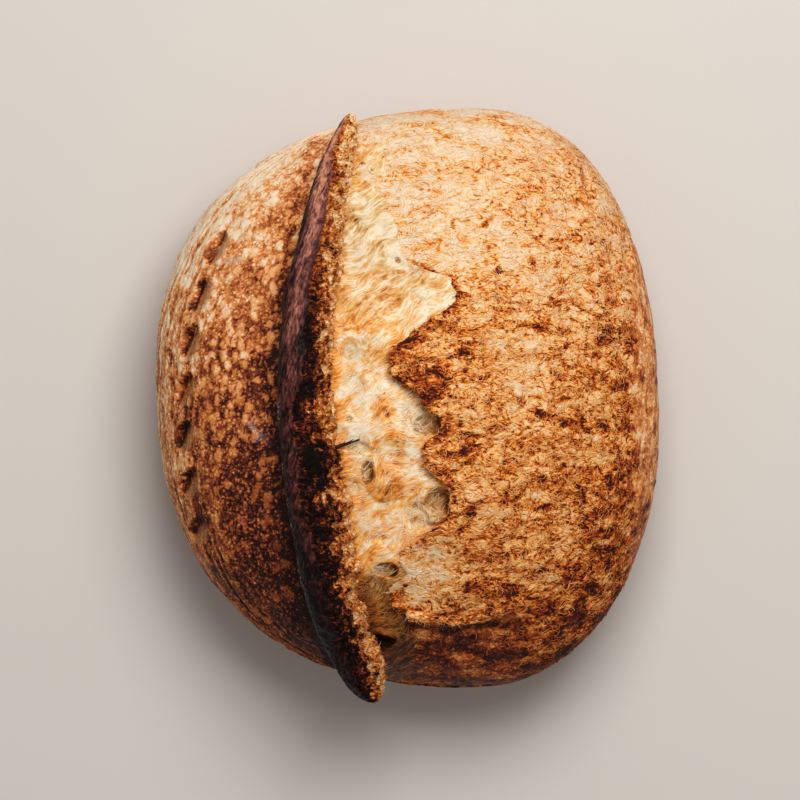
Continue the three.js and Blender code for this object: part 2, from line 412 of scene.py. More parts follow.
def add_piece(name, vertices, quads, triangles, material, slot, masks, smooth=True):
    """A mesh object from arrays in millimetres, turned inside out where its volume is negative,
    with each mask as a number on every vertex. It rides on the loaf and stands for the solid."""
    corners = np.concatenate([quads[:, [0, 1, 2]], quads[:, [0, 2, 3]], triangles])
    a, b, c = (vertices[corners[:, i]] for i in range(3))
    if np.sum(a * np.cross(b, c)) < 0:
        quads, triangles = quads[:, ::-1], triangles[:, ::-1]
    mesh = bpy.data.meshes.new(name)
    mesh.vertices.add(len(vertices))
    mesh.vertices.foreach_set("co", (vertices * MM).astype(np.float32).ravel())
    loops = np.concatenate([quads.ravel(), triangles.ravel()]).astype(np.int32)
    mesh.loops.add(len(loops))
    mesh.loops.foreach_set("vertex_index", loops)
    starts = np.concatenate([np.arange(len(quads)) * 4, len(quads) * 4 + np.arange(len(triangles)) * 3])
    mesh.polygons.add(len(starts))
    mesh.polygons.foreach_set("loop_start", starts.astype(np.int32))
    mesh.polygons.foreach_set("use_smooth", np.full(len(starts), smooth))
    mesh.update(calc_edges=True)
    if mesh.validate():
        raise RuntimeError(f"{name}: the mesh had faults")
    for mask, values in masks.items():
        attribute = mesh.attributes.new(mask, "FLOAT", "POINT")
        attribute.data.foreach_set("value", values.astype(np.float32).ravel())
    mesh.materials.append(material)
    piece = bpy.data.objects.new(name, mesh)
    bpy.context.scene.collection.objects.link(piece)
    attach(piece, "root")
    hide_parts("loaf")
    return piece


def add_tube(name, points, material, slot, masks):
    """A closed piece from rings of points (rows, columns, 3): each end ring is drawn to a pole."""
    rows, columns = points.shape[:2]
    poles = np.stack([points[0].mean(axis=0), points[-1].mean(axis=0)])
    vertices = np.concatenate([points.reshape(-1, 3), poles])
    quads, triangles = tube_faces(rows, columns)
    closed = {key: np.append(value.ravel(), value[[0, -1]].mean(axis=1)) for key, value in masks.items()}
    return add_piece(name, vertices, quads, triangles, material, slot, closed)


def add_curls(
    name, roots, ahead, aside, sizes, material, slot, masks, lying=False, rings=6, corners=3, smooth=True
):
    """Many thin curls joined in one piece: each leaves its root ahead, turns evenly towards aside by
    its turning in radians, and bulges off that plane by a sine of its lift. A lying curl is slim at
    both ends, and any other narrows to a fifth at its tip. The sizes are length, width, turning and
    lift."""
    length, width, turning, lift = sizes
    count = len(roots)
    t = np.linspace(0, 1, rings)
    ahead = unit(ahead)
    aside = unit(aside - ahead * np.sum(aside * ahead, axis=-1, keepdims=True))
    third = np.cross(ahead, aside)

    def spread(forward, sideways):
        """Vectors from their parts ahead and aside."""
        return ahead[:, None] * forward[..., None] + aside[:, None] * sideways[..., None]

    stride = length[:, None, None] / (rings - 1)
    between_rings = turning[:, None] * (t[1:] + t[:-1]) / 2
    run = np.cumsum(spread(np.cos(between_rings), np.sin(between_rings)) * stride, axis=1)
    rise = third[:, None] * (lift[:, None] * np.sin(math.pi * t))[..., None]
    centre = roots[:, None] + np.concatenate([0 * run[:, :1], run], axis=1) + rise
    heading = turning[:, None] * t
    forward, sideways = spread(np.cos(heading), np.sin(heading)), spread(-np.sin(heading), np.cos(heading))
    radius = width[:, None] * (0.3 + 0.7 * np.sin(math.pi * t) if lying else 1 - 0.8 * t)
    turn = (np.arange(corners) + 0.25 * lying) * 2 * math.pi / corners
    round_it = sideways[:, :, None] * np.cos(turn)[:, None] + third[:, None, None] * np.sin(turn)[:, None]
    points = centre[:, :, None] + radius[..., None, None] * round_it
    tips = centre[:, [0, -1]] + forward[:, [0, -1]] * (np.array([-0.4, 0.4]) * width[:, None])[..., None]
    vertices = np.concatenate([points.reshape(count, -1, 3), tips], axis=1)
    each = vertices.shape[1]
    quads, triangles = tube_faces(rings, corners)
    shift = (np.arange(count) * each)[:, None, None]
    everywhere = {key: np.repeat(value, each) for key, value in masks.items()}
    faces = (quads + shift).reshape(-1, 4), (triangles + shift).reshape(-1, 3)
    return add_piece(name, vertices.reshape(-1, 3), *faces, material, slot, everywhere, smooth)


def rows_along(start, end, count, crowding):
    """Places along the loaf, evenly spread mixed with sine spread, which crowds them at the ends."""
    share = np.linspace(-1, 1, count)
    spread = mix(share, np.sin(share * math.pi / 2), crowding)
    return mix(start, end, (spread + 1) / 2)[:, None]


def even_angles(profile, start, end, count, weight):
    """Angles between which a flat profile runs equally far: its length is summed over many small
    steps, each times its weight, and shared out."""
    fine = np.linspace(start, end, 4000)
    steps = np.linalg.norm(np.diff(profile(fine), axis=0), axis=-1) * weight((fine[1:] + fine[:-1]) / 2)
    run = np.append(0, np.cumsum(steps))
    return np.interp(np.linspace(0, run[-1], count), run, fine)


# ---- browning, from 0 for pale dough to 1 for charred, by place in plan ----

# Flecks and pits of the bloom's skin: x, y, radii across and along, browning, depth.
FLECKS = [
    (18.0, 70.0, 0.7, 2.4, 0.525, 0.3),
    (31.3, 70.0, 1.6, 1.3, 0.6, 0.4),
    (36.2, 51.0, 1.7, 1.5, 0.675, 0.5),
    (32.5, 60.0, 1.0, 0.9, 0.45, 0.3),
    (36.2, 39.7, 1.2, 1.0, 0.6, 0.4),
    (88.0, 4.5, 1.8, 1.5, 0.6, 0.4),
    (53.5, -32.5, 1.5, 1.3, 0.675, 1.2),
    (23.5, -16.3, 2.6, 2.2, 0.15, 2.4),
    (78.0, -80.0, 1.5, 1.0, 0.375, 0.5),
    (74.0, 62.0, 1.2, 1.0, 0.375, 0.3),
]
# Thin crescents where bubbles show through the skin: x, y, radius, degrees of the way they bulge.
CRESCENTS = [
    (74.5, -43.0, 5.5, 20),
    (64.0, -55.0, 6.5, 75),
    (37.5, -3.5, 7.5, 60),
    (22.0, 12.0, 7.0, 95),
    (63.0, 34.0, 6.0, 70),
    (97.0, -30.0, 6.0, -15),
    (20.0, 38.0, 5.0, 60),
    (48.0, 22.0, 9.0, 80),
    (33.0, -47.0, 8.0, 95),
    (55.0, -76.0, 9.0, 80),
]
# Browner and paler places of the bloom: x, y, radii across and along, added browning.
BLOOM_PLACES = [
    (8, 12, 19, 11, 0.17),
    (18, -27, 15, 8, 0.12),
    (62, -9, 22, 6, 0.15),
    (30, 46, 14, 7, 0.08),
    (45, -76, 45, 6, 0.13),
    (74, 30, 12, 4, 0.10),
    (50, -40, 18, 4, 0.10),
    (45, 12, 14, 12, -0.10),
    (36, -62, 14, 7, -0.10),
    (26, -38, 10, 9, -0.10),
    (21, -59, 16, 4, 0.20),
]
# the flap is painted paler, partly its own paler dough and partly painted light on its raised face
FLAP = (6, -71, 11, 10)  # the bright flap behind the front holes: x, y, radii across and along
FLAP_PALER = 0.76


def skin_lumps(points):
    """Broad and smaller unevenness of the skin, the same functions of place on every piece."""
    return layered(points / 15, 31, 3), layered(points / 6.5, 32, 3)


def crust_browning(x, y):
    """Old crust: browner towards the front and paler at the back, partly its own bake and partly
    painted shade and light; paler at the rim.
    """
    # the slope in y is partly bake and partly painted shade in front and painted light behind
    return 0.49 - 0.0041 * y - 0.12 * hill(x + 99, 8) * ease(-y, -100, 40) + 0.09 * hill(y - 2, 38)


def crust_ground(points):
    """Browning of the old crust without its blisters, soft and patchy."""
    broad, patches = skin_lumps(points)
    blotchy = 0.4 + 0.6 * ease(points[..., 1], -50, 20)
    return crust_browning(points[..., 0], points[..., 1]) + (0.18 * patches + 0.12 * broad) * blotchy + 0.08


def bloom_ground(points):
    """Browning of the bloom without its threads: streaky, and darker in front of the tear, partly as
    painted shade.
    """
    x, y = points[..., 0], points[..., 1]
    streaky = layered(points / np.array([15, 5, 8]), 67, 3)
    # the term in -y darkens the front, partly as painted shade
    return bloom_browning(x, y) + 0.20 * streaky + 0.12 * ease(-y, 80, 100) - 0.08 * ease(y, 60, 110)


def bloom_browning(x, y):
    """Bloom: palest behind the middle by the ear, tan at the right, caramel in front, and darkest
    along the ragged edge, on the cape and in front of the tear. The darkening at the front and the
    right front is partly painted shade, and the dark band along the ragged edge is partly painted
    shade under the lip."""
    away = x - edge_x(y)
    pale = 0.09 * ease(y, 15, 85) * (1 - 0.6 * ease(x, 20, 85)) + 0.06 * ease(y, 20, 60) * ease(x, 30, 60)
    # browner at the right front, partly as painted shade
    right = 0.04 * ease(x, 45, 84) * (1 - ease(y, 10, 60)) + 0.18 * ease(x, 35, 80) * ease(-y, 15, 60)
    right = right + 0.13 * hill(x - 83, 7) * plateau(y + 5, 60)
    # darker towards the front and in front of the tear: partly toasted, partly painted shade
    front = 0.18 * (1 - ease(y, -105, -55)) + 0.03 * (1 - ease(y, -45, 10)) + 0.12 * ease(-y, 76, 96)
    torn_back = 1 - ease(y, 48, 62)
    dark_part = 0.35 + 0.65 * plateau(y - 25, 26)
    # the dark band along the ragged edge is partly the torn edge's darker bake and partly painted shade under
    # the lip
    edge = (0.28 * hill(away, 4.0) + 0.10 * hill(away - 4, 8)) * torn_back * ease(y, -95, -75) * dark_part
    at_x, at_y, across, along = FLAP
    flap = hill(x - at_x, across) * hill(y - at_y, along)
    # the flap's paleness is partly painted light
    bake = 0.25 - pale + right + front + edge * (1 - flap) - FLAP_PALER * flap
    for at_x, at_y, across, along, tone in BLOOM_PLACES:
        bake = bake + tone * hill(x - at_x, across) * hill(y - at_y, along)
    return bake


def flank_browning(points):
    """Low flank, the same all round: golden brown with soft patches."""
    broad, patches = skin_lumps(points)
    return 0.50 + 0.10 * patches + 0.07 * broad


# ---- the pieces' surfaces ----

SEAM_OVERLAP = 1.6  # how far the old crust runs past the seam under the ear
SEAM_SINK = 1.3  # how deep a piece dives where it runs past a seam
SKIN_SINK = 0.6  # how far the skin lies inside the solid's surface before its relief is added
LOW_SEAM = 0.42  # radians below the widest line at which the underside starts
SEAM_LAP = 0.035  # radians that the upper pieces run on below that seam
UNDER_LAP = 0.03  # radians that the underside runs on above it
END_GAP = 0.04  # from the last ring of a piece to the loaf's own end
BROAD_RISE, PATCH_RISE = 0.5, 0.22  # heights of the skin's broad and smaller unevenness


def low_seam(y):
    """Angle below the widest line where the underside starts: it rises to that line at both ends."""
    return LOW_SEAM * (1 - ease(np.abs(y), 98, 109))


def above_seam(points, y):
    """0 at the seam to the underside, 1 from 9 mm above it."""
    drop = section(y)[3]
    return ease(points[..., 2] - WIDEST_AT + drop * np.sin(low_seam(y)) ** (2 / ROUNDNESS), 0.5, 9)


def upper_share(points):
    """0 low on the flank and 1 well above it, where each piece takes its own look."""
    return ease(points[..., 2], 16, 34)


def held_inside(points):
    """Points kept above the base and between the loaf's two ends."""
    reach = HALF_LENGTH - 0.05
    x, y, z = (points[..., axis] for axis in range(3))
    return stacked(x, np.clip(y, -reach, reach), np.maximum(z, 0))


def skin_relief(points):
    """Height of the skin's low unevenness."""
    broad, patches = skin_lumps(points)
    return BROAD_RISE * broad + PATCH_RISE * patches


def place_in_cut(points, row):
    """Over one row of decorative cuts: share of a cut's depth, height of the little flap behind its
    steep side, how much of the sandy floor shows and the painted shade on its steep side, each the
    greatest of all cuts."""
    hollow, flap, floor, dark = (np.zeros(points.shape[:-1]) for _ in range(4))
    turn = math.radians(row["lean"])
    half = CUT["length"] / 2
    for i in range(row["count"]):
        y = np.array(row["first_y"] - row["pitch"] * i, float)
        centre, out, along, across = on_crust(arc_x(row, y), y)
        offset = points - centre
        u = offset @ (across * math.cos(turn) + along * math.sin(turn))
        v = offset @ (along * math.cos(turn) - across * math.sin(turn))
        bow = 1.6 * (1 - (u / half) ** 2)  # the cut bends like a crescent
        full = np.sqrt(np.clip(1 - (u / half) ** 2, 0, 1)) * (np.abs(offset @ out) < 9)
        wall = v - bow - 0.35 * CUT["opening"] * full  # distance past the foot of the steep side
        wall = np.where(wall < 0, 0.75 * wall, wall)
        reach = CUT["opening"] * full + TINY
        well_in = ease(full, 0.2, 0.6)
        sunk = ease(wall, -1.5 * reach, -0.05 * reach) * (1 - ease(wall, 0.1, 0.9))
        bared = ease(wall, -1.5 * reach, -1.1 * reach) * (1 - ease(wall, -0.2 * reach, 0))
        hollow = np.maximum(hollow, sunk * full)
        flap = np.maximum(flap, ease(wall, 0.3, 1.3) * (1 - ease(wall, 1.4, 3.2)) * full)
        floor = np.maximum(floor, bared * well_in)
        # painted shade: a dark band where a cut's steep side lies in shadow
        dark = np.maximum(dark, hill(wall + 0.16 * reach, 0.3 + 0.32 * reach) * well_in)
    return hollow, flap, floor, dark


def rim_wrinkles(angle, y, curls, size, seed):
    """Wrinkles of the rim: threads drawn over the angle round the section and a little of Y."""
    return strands((stacked(34 * angle + y / 14, y / 13, 0) + 0.6 * curls) / size, seed) - 0.5


def ends_of_crust():
    """Y at the back and in front where the ear's arc leaves the left outline."""
    search = np.linspace(90, HALF_LENGTH, 4000)
    return [y[np.argmax(arc_x(EAR, y) < SPINE_X - side_reach(LEFT_SIDE, y))] for y in (search, -search)]


def blisters_on(points, y, curls):
    """Large blisters, how pale each is, and small ones between them: random cells whose own number
    is high enough, rounded and kept apart. In front there are few large ones and many small ones."""
    crowding = 0.20 * layered(points / 13, 33, 2) + 0.06 * hill(points[..., 0] + 60, 16)
    crowding = crowding - 0.06 * (1 - ease(y, -60, 10))
    sparse = 0.30 * (1 - ease(y, -50, 15))
    first, gap, own = cells((points + 1.3 * curls) / np.array([3.6, 4.6, 4.2]), 11)
    least = 0.38 - crowding + sparse
    large = ease(own, least, least + 0.04) * ease(gap, 0.02, 0.12)
    large = large * (1 - ease(first, 0.34 + 0.1 * own, 0.52 + 0.1 * own))
    pale = large * (0.6 + 0.6 * own)
    first, gap, own = cells((points + 0.7 * curls) / 1.65, 12)
    least = 0.42 - crowding - sparse
    small = ease(own, least, least + 0.06) * (1 - ease(first, 0.26, 0.46)) * ease(gap, 0.02, 0.2)
    return large, pale, small * (1 - large)


def crust_surface(rows=442, columns=222):
    """The old crust: the body left of the ear, down the left flank, with blisters, wrinkles along
    the rim and one row of cuts. Returns points and masks."""
    back_end, front_end = ends_of_crust()
    y = rows_along(front_end + 0.02, back_end - 0.02, rows, 0.6)
    seam = arc_x(EAR, y)
    stop = math.pi + low_seam(y) + SEAM_LAP
    angle = mix(angle_at(seam + SEAM_OVERLAP, y), stop, np.linspace(0, 1, columns))
    points = body(angle, y)
    normals = outward(points, wrapped=False)
    upper = upper_share(points)
    near = above_seam(points, y)

    curls = curls_of(points, 4.5, 5)
    broad, patches = skin_lumps(points)
    blister, pale, small = blisters_on(points, y, curls)
    rim = hill(angle - math.pi + 0.2, 0.5)
    wrinkles = rim_wrinkles(angle, y, curls, 2.2, 21)
    cut, flap, floor, dark = place_in_cut(points, LEFT_CUTS)
    free = upper * near * (1 - 0.7 * rim) * (1 - np.minimum(1, 1.5 * cut))

    height = BROAD_RISE * broad + PATCH_RISE * patches + free * (0.42 * blister + 0.22 * small)
    height = height + 0.9 * wrinkles * rim * upper * near * (1 - cut) + 0.5 * flap - CUT["depth"] * cut
    beyond = np.maximum(ease(points[..., 0] - seam, 0, SEAM_OVERLAP), ease(angle - stop, -SEAM_LAP, 0))
    points = held_inside(points + normals * (height - SKIN_SINK - SEAM_SINK * beyond)[..., None])

    x = points[..., 0]
    ground = crust_ground(points)
    back = ease(y, 20, 100)
    paler = (0.40 - 0.14 * back - 0.16 * (1 - ease(y, -60, 0))) * pale + (0.42 - 0.16 * back) * small
    bake = ground + 0.12 - free * paler - rim * (0.75 * wrinkles + 0.32)
    # painted shade on the cuts' steep sides
    bake = bake + 0.48 * dark - 0.12 * flap - 0.06 * floor
    # painted shade: the crust darkens in the crease beside the ear's left wall
    crease = hill(x - seam + EAR["wall_width"] + 1, 4) * upper
    bake = mix(ground, bake + 0.25 * crease, near)
    bake = mix(flank_browning(points), bake, upper)
    dust = ease(layered(points / 5, 41, 2), 0.05, 0.5)
    dusted = hill(x + 69, 6) * hill(y - 61, 11) + hill(x + 62, 4) * hill(y + 15, 5)
    flour = 0.75 * dust * dusted
    smooth = 0.75 * free * np.minimum(1, blister + small)
    return points, {"bake": bake, "flour": flour, "smooth": smooth, "khaki": floor * (1 - dark)}


UNDER_COLUMNS, LIP_COLUMNS = 5, 7  # columns of the grid under the bloom's lip and round it
SHOWN_LIP = 5  # columns of the lip that can be seen


def ragged_edge(y):
    """X of the bloom's edge at y with its fine jags, the radius of the lip's small circle, and how
    torn the lip and how far shut the opening is there."""
    along = stacked(0, y[:, 0], 0)
    shut = ease(y, 92, 106) + ease(-y, 104, 115)
    opened = 1 - ease(-y, 96, 108)
    torn = (1 - ease(y, 34, 46)) * opened * (1 - shut)
    jagged = (0.7 + 0.3 * (1 - ease(y, 46, 64)) * opened) * (1 - shut)
    jags = (1.7 * layered(along / 3.1, 51, 3, 0.6) + 1.4 * layered(along / 9, 52, 1))[:, None] * jagged
    radius = 0.10 + 0.85 * torn * (1 + 0.5 * layered(along / 5, 53, 2)[:, None])
    return inside_outline(edge_x(y) + jags, y), radius, torn, shut


def bloom_lip(y, edge, radius, shut):
    """Grid from 9 mm in under the bloom, falling outwards, and round the lip's half circle."""
    turn = np.linspace(math.pi, 0, LIP_COLUMNS + 1)[:-1]
    lip_x = inside_outline(edge + radius * (1 - np.sin(turn)), y)
    lip_z = crust_height(lip_x, y) - radius * (1 - np.cos(turn))
    under = np.linspace(9, 1.5, UNDER_COLUMNS) * (1 - 0.97 * shut)
    under_x = inside_outline(edge + radius + under, y)
    under_z = crust_height(under_x, y) - 2 * radius - 0.3 * under
    return stacked(np.concatenate([under_x, lip_x], axis=1), y, np.concatenate([under_z, lip_z], axis=1))


def bloom_spots(x, y, curls):
    """Browning and height that the flecks and crescents add: ovals, and arcs of rings round a paler
    middle, all pushed about a little."""
    bake, height = np.zeros_like(x), np.zeros_like(x)
    for at_x, at_y, across, length, tone, depth in FLECKS:
        spot = 1 - ease(oval(x + curls[..., 0], y + curls[..., 1], at_x, at_y, across, length), 0.7, 1.5)
        bake = bake + tone * spot
        height = height - depth * spot
    for at_x, at_y, reach, heading in CRESCENTS:
        distance = np.hypot(x - at_x + curls[..., 2], (y - at_y) * 1.25 + curls[..., 0])
        arc = ease(np.cos(np.arctan2(y - at_y, x - at_x) - math.radians(heading)), 0.1, 0.75)
        rise = ease(distance, reach * 0.3, reach) * (1 - ease(distance, reach, reach + 0.7))
        bake = bake + 0.45 * arc * hill(distance - reach - 0.3, 0.8)
        bake = bake - 0.09 * (1 - ease(distance, reach * 0.6, reach))
        height = height + 0.35 * arc * rise
    return bake, height


def bloom_surface(rows=446, main_columns=206):
    """The bloom: from under its ragged lip, round the lip, and over the swollen right side, with
    threads, flecks, the tear across it and one row of cuts. Returns points, masks and the count of
    lip columns."""
    y = rows_along(-HALF_LENGTH + END_GAP, HALF_LENGTH - END_GAP, rows, 0.6)
    along = stacked(0, y[:, 0], 0)
    edge, radius, torn, shut = ragged_edge(y)
    lip = bloom_lip(y, edge, radius, shut)
    first = UNDER_COLUMNS + LIP_COLUMNS
    stop = -low_seam(y) - SEAM_LAP
    share = np.interp(np.linspace(0, 1, main_columns), [0, 0.12, 1], [0, 0.045, 1])  # denser by the lip
    angle = mix(angle_at(edge + radius, y), stop, share)
    points = np.concatenate([lip, body(angle, y)], axis=1)
    normals = outward(points, wrapped=False)
    x = points[..., 0]
    away = x - edge
    rim = ease(x, 87, 95)
    upper = upper_share(points)
    near = above_seam(points, y)
    near[:, :first] = 1
    curls = curls_of(points, 8, 61)
    broad, low_patches = skin_lumps(points)
    patches = layered(points / np.array([15, 5, 8]), 67, 3)

    # the tear, its lip and the lower ground in front of it
    tear = tear_y(x) + 1.5 * curls[..., 1]
    by_tear = plateau(x - TERRACE["x"], TERRACE["span_x"] + 4)
    in_front = (1 - ease(y, tear - 2.5, tear)) * plateau(x - TERRACE["x"], TERRACE["span_x"] + 14)
    tear_lip = hill(y - tear - 1.2, 1.8) * by_tear

    # threads, and faint outlines of large cells, all calmer where the skin is creamy
    net = 0.55 * strands((points + 3.6 * curls) / np.array([9, 2.3, 5]), 64)
    net = net + 0.45 * strands((points + 2.4 * curls) / 3.4, 65)
    fuzz = layered(points / 2.2, 72, 2)
    _, gap, own = cells((points + 5 * curls) / np.array([17, 8, 12]), 71)
    belt = (1 - ease(gap + 0.12 * fuzz, 0.02, 0.20)) * ease(own + 0.3 * low_patches, 0.30, 0.55)
    outline = ease(-y, -78, -40) * (0.5 * (1 - ease(gap, 0.0, 0.07)) + belt * (0.6 + fuzz))
    outline = outline - 0.30 * ease(gap, 0.15, 0.6)
    cream = ease(y, 24, 62) * hill(np.maximum(away, 0), 56) + ease(y, 96, 108) * hill(x - 5, 50)
    cream = np.minimum(1, cream) * (1 - 0.4 * ease(patches, 0.0, 0.5))
    cream = cream * (1 - hill(away, 3) * (1 - ease(y, 50, 58)))
    calm = (1 - 0.72 * ease(y, 5, 70) * (1 - 0.7 * ease(x, 30, 72))) * (1 - 0.5 * cream)
    weave = upper * near * (1 - 0.8 * rim) * (1 - 0.8 * in_front)

    spot_tone, spot_height = bloom_spots(x, y, curls)
    cut, flap, _, dark = place_in_cut(points, RIGHT_CUTS)
    height = BROAD_RISE * broad + PATCH_RISE * low_patches + spot_height
    height = height + weave * calm * (0.32 * (net - 0.5) - 0.35 * outline)
    height = height + hill(away - 1.5, 4.0) * torn * (0.4 + layered(along / 6, 68, 2)[:, None])
    height = height + 1.3 * tear_lip * (0.7 + patches) - in_front * by_tear
    height = height - 0.6 * CUT["depth"] * cut + 0.4 * flap

    bake = bloom_browning(x, y) + (0.42 * patches + 0.10 * broad) * (0.25 + 0.75 * calm) - 0.17 * cream
    bake = bake + (0.15 - 0.32 * net) * weave * (0.3 + 0.7 * calm)
    bake = bake + 0.34 * outline * weave * (0.35 + 0.65 * calm)
    # the term at y near 41 is a thin dark line along the tongue's edge: painted shade of its lip
    bake = bake + 0.16 * fuzz * calm * upper + 0.26 * hill(away - 1.0, 1.3) * plateau(y - 41, 8) + spot_tone
    # painted shade on the lower ground in front of the tear and in a band just in front of its lip; the lip
    # is painted paler, partly as painted light; painted shade on the cuts' steep sides
    bake = bake + 0.16 * in_front - 0.30 * tear_lip * ease(patches, -0.4, 0.2)
    bake = bake + 0.2 * hill(y - tear + 1.8, 1.6) * by_tear + 0.25 * dark - 0.06 * flap
    wrinkles = rim_wrinkles(np.append(np.zeros_like(lip[..., 0]), angle, axis=1), y, curls, 2.4, 22)
    bake = mix(bake, 0.39 + 0.48 * low_patches - 0.50 * wrinkles, rim * 0.75 * ease(y, -80, 0) * (1 - cut))
    bake = mix(flank_browning(points), mix(bloom_ground(points), bake, near), upper)
    under_lip = np.arange(points.shape[1]) < first - SHOWN_LIP
    bake = np.where(under_lip, 0.24 + 0.16 * torn, bake)
    broken = ease(layered(along / 7, 54, 2)[:, None], -0.1, 0.3)
    bake = bake - 0.35 * hill(away - radius * 0.4, 0.35) * torn * broken  # the lip's own edge is paler

    height[:, first:] -= SEAM_SINK * ease(stop - angle, -SEAM_LAP, 0)
    height[:, :first] = height[:, first : first + 1]
    normals[:, :first] = normals[:, first : first + 1]
    points = held_inside(points + normals * (height - SKIN_SINK)[..., None])
    return points, {"bake": bake, "weave": weave, "smooth": 0.75 * cream * near}, first


def underside_surface(rows=300, columns=150):
    """The underside and the low flanks, flat where the loaf stands, dusted with flour."""
    y = rows_along(-HALF_LENGTH + END_GAP, HALF_LENGTH - END_GAP, rows, 0.8)
    seam = low_seam(y)
    stop = seam - UNDER_LAP - math.pi - 0.22 * ease(np.abs(y), 107, 111)  # it reaches up at both ends
    angle = mix(-seam + UNDER_LAP, stop, np.linspace(0, 1, columns))
    points = body(angle, y)
    normals = outward(points, wrapped=False)
    height = skin_relief(points)
    past = np.maximum(ease(angle + seam, 0, UNDER_LAP), ease(stop + UNDER_LAP - angle, 0, UNDER_LAP))
    points = points + normals * (height - SKIN_SINK - SEAM_SINK * past)[..., None]
    points = held_inside(points)
    flour = ease(layered(points / 9, 42, 3), -0.2, 0.5) * (1 - ease(points[..., 2], 0, 7))
    right = ease(points[..., 0] - arc_x(EAR, y), -4, 8)
    ground = mix(crust_ground(points), bloom_ground(points), right)
    bake = mix(flank_browning(points), ground, upper_share(points))
    return points, {"bake": bake, "flour": 0.8 * flour}


# Forms of the torn crumb: x, y, radii across and along, height, browning, share of hollow.
CRUMB_FORMS = [
    (-9.1, -34.2, 6.2, 6.6, 1.3, 0.34, 0.0),
    (-16.0, -29.8, 2.6, 4.6, -2.6, 0.10, 1.0),
    (-9.5, -5.5, 3.6, 7.0, 0.5, 0.14, 0.0),
    (-5.0, -15.5, 5.5, 3.5, 0.4, 0.14, 0.0),
    (-3.0, 50.0, 3.5, 2.0, 0.3, 0.26, 0.0),
    (-22.5, 18.5, 3.6, 4.6, -0.6, 0.0, 0.8),
    (-21.5, 5.5, 4.5, 5.0, -0.7, 0.0, 0.7),
    (-23.5, -8.5, 1.4, 1.4, -1.6, 0.25, 1.0),
    (-19.5, -20.0, 5.0, 3.2, -1.2, 0.02, 0.8),
    (-22.0, -36.0, 4.0, 4.0, -0.9, 0.05, 0.7),
    (2.5, 6.0, 5.5, 8.0, -0.8, 0.0, 0.5),
    (4.0, -7.5, 7.5, 8.0, -2.2, 0.0, 0.85),
    (4.5, -47.0, 5.0, 6.5, -1.8, 0.10, 0.9),
    (11.0, -48.0, 3.4, 3.0, 1.6, 0.0, 0.8),
    (7.0, 42.0, 4.5, 3.8, 0.5, -0.02, 0.0),
    (-4.2, 55.0, 1.3, 1.3, -2.4, 0.55, 1.0),
    (-9.0, 54.0, 4.0, 3.5, -0.8, 0.0, 0.8),
    (-12.0, 66.0, 4.0, 5.0, -0.8, 0.0, 0.4),
    (-18.5, 79.0, 3.0, 4.0, -0.9, 0.0, 0.5),
    (-13.5, 88.0, 2.4, 3.0, -0.7, 0.0, 0.5),
    (-18.0, 94.0, 1.6, 1.2, -0.6, 0.45, 0.8),
    (-20.5, 70.0, 1.2, 1.6, -1.2, 0.25, 0.9),
    (-11.0, -60.0, 7.0, 3.0, 0.6, 0.10, 0.0),
    (-14.0, -75.0, 6.0, 5.0, -1.2, 0.12, 1.0),
    (-6.0, -85.0, 5.5, 4.5, -1.0, 0.18, 1.0),
    (5.0, -66.0, 7.0, 3.5, 0.9, 0.0, 0.0),
    (-11.0, -108.0, 7.0, 8.0, 0.8, 0.22, 0.0),
]
# Toasted streaks on the crumb: from x, y, to x, y, width.
CRUMB_STREAKS = [
    (-25.3, 27.6, -2.0, 49.0, 1.6),
    (-20.0, 26.0, 6.0, 47.0, 1.3),
    (-12.0, 3.0, -3.0, -20.0, 2.4),
    (-24.0, 33.0, -8.0, 50.0, 1.0),
]
TOASTED_BUBBLE = CRUMB_FORMS[0][:2]  # the one that has a rim of its own
RINGS_FRONT_Y = -55  # in front of it the strands run past the bubbles
HIDDEN_COLUMNS = 14  # columns of the crumb that lie under the bloom's lip and bear no strands


def crumb_flow(x, y):
    """A height whose level lines are the way the crumb's strands run: a plane that rises across the
    strands, bent by noise, and rings round each bubble."""
    flat = stacked(x, y, 0)
    flow = 0.84 * y - 0.54 * x + 4.0 * noise(flat / 15, 152) + 1.6 * noise(flat / 6, 153)
    bubbles = [form[:4] for form in CRUMB_FORMS if form[6] >= 0.8] + [pocket[:4] for pocket in POCKETS]
    for at_x, at_y, across, length in bubbles:
        if at_y < RINGS_FRONT_Y:
            continue
        reach = oval(x, y, at_x, at_y, across, length)
        flow = mix(flow, 3.5 * reach, 0.2 * plateau(reach - 1.0, 0.3) * (1 - ease(at_y, 40, 50)))
    return flow


def crumb_bubbles(flat, warped):
    """Large open bubbles of the crumb, the rings round them, small bubbles, and round holes: random
    cells whose own number is high enough, hollow in their middle."""
    first, gap, own = cells(warped / np.array([8, 6.5, 8]), 84)
    large = ease(own, 0.60, 0.70) * (1 - ease(first, 0.1, 0.7))
    rings = ease(own, 0.60, 0.70) * hill(gap - 0.1, 0.07)
    first, _, own = cells(warped / np.array([3.2, 2.7, 3]), 85)
    small = ease(own, 0.66, 0.74) * (1 - ease(first, 0.1, 0.5))
    first, _, own = cells(flat / 2.6, 89)
    return large, rings, small, ease(own, 0.93, 0.95) * (1 - ease(first, 0.1, 0.28))


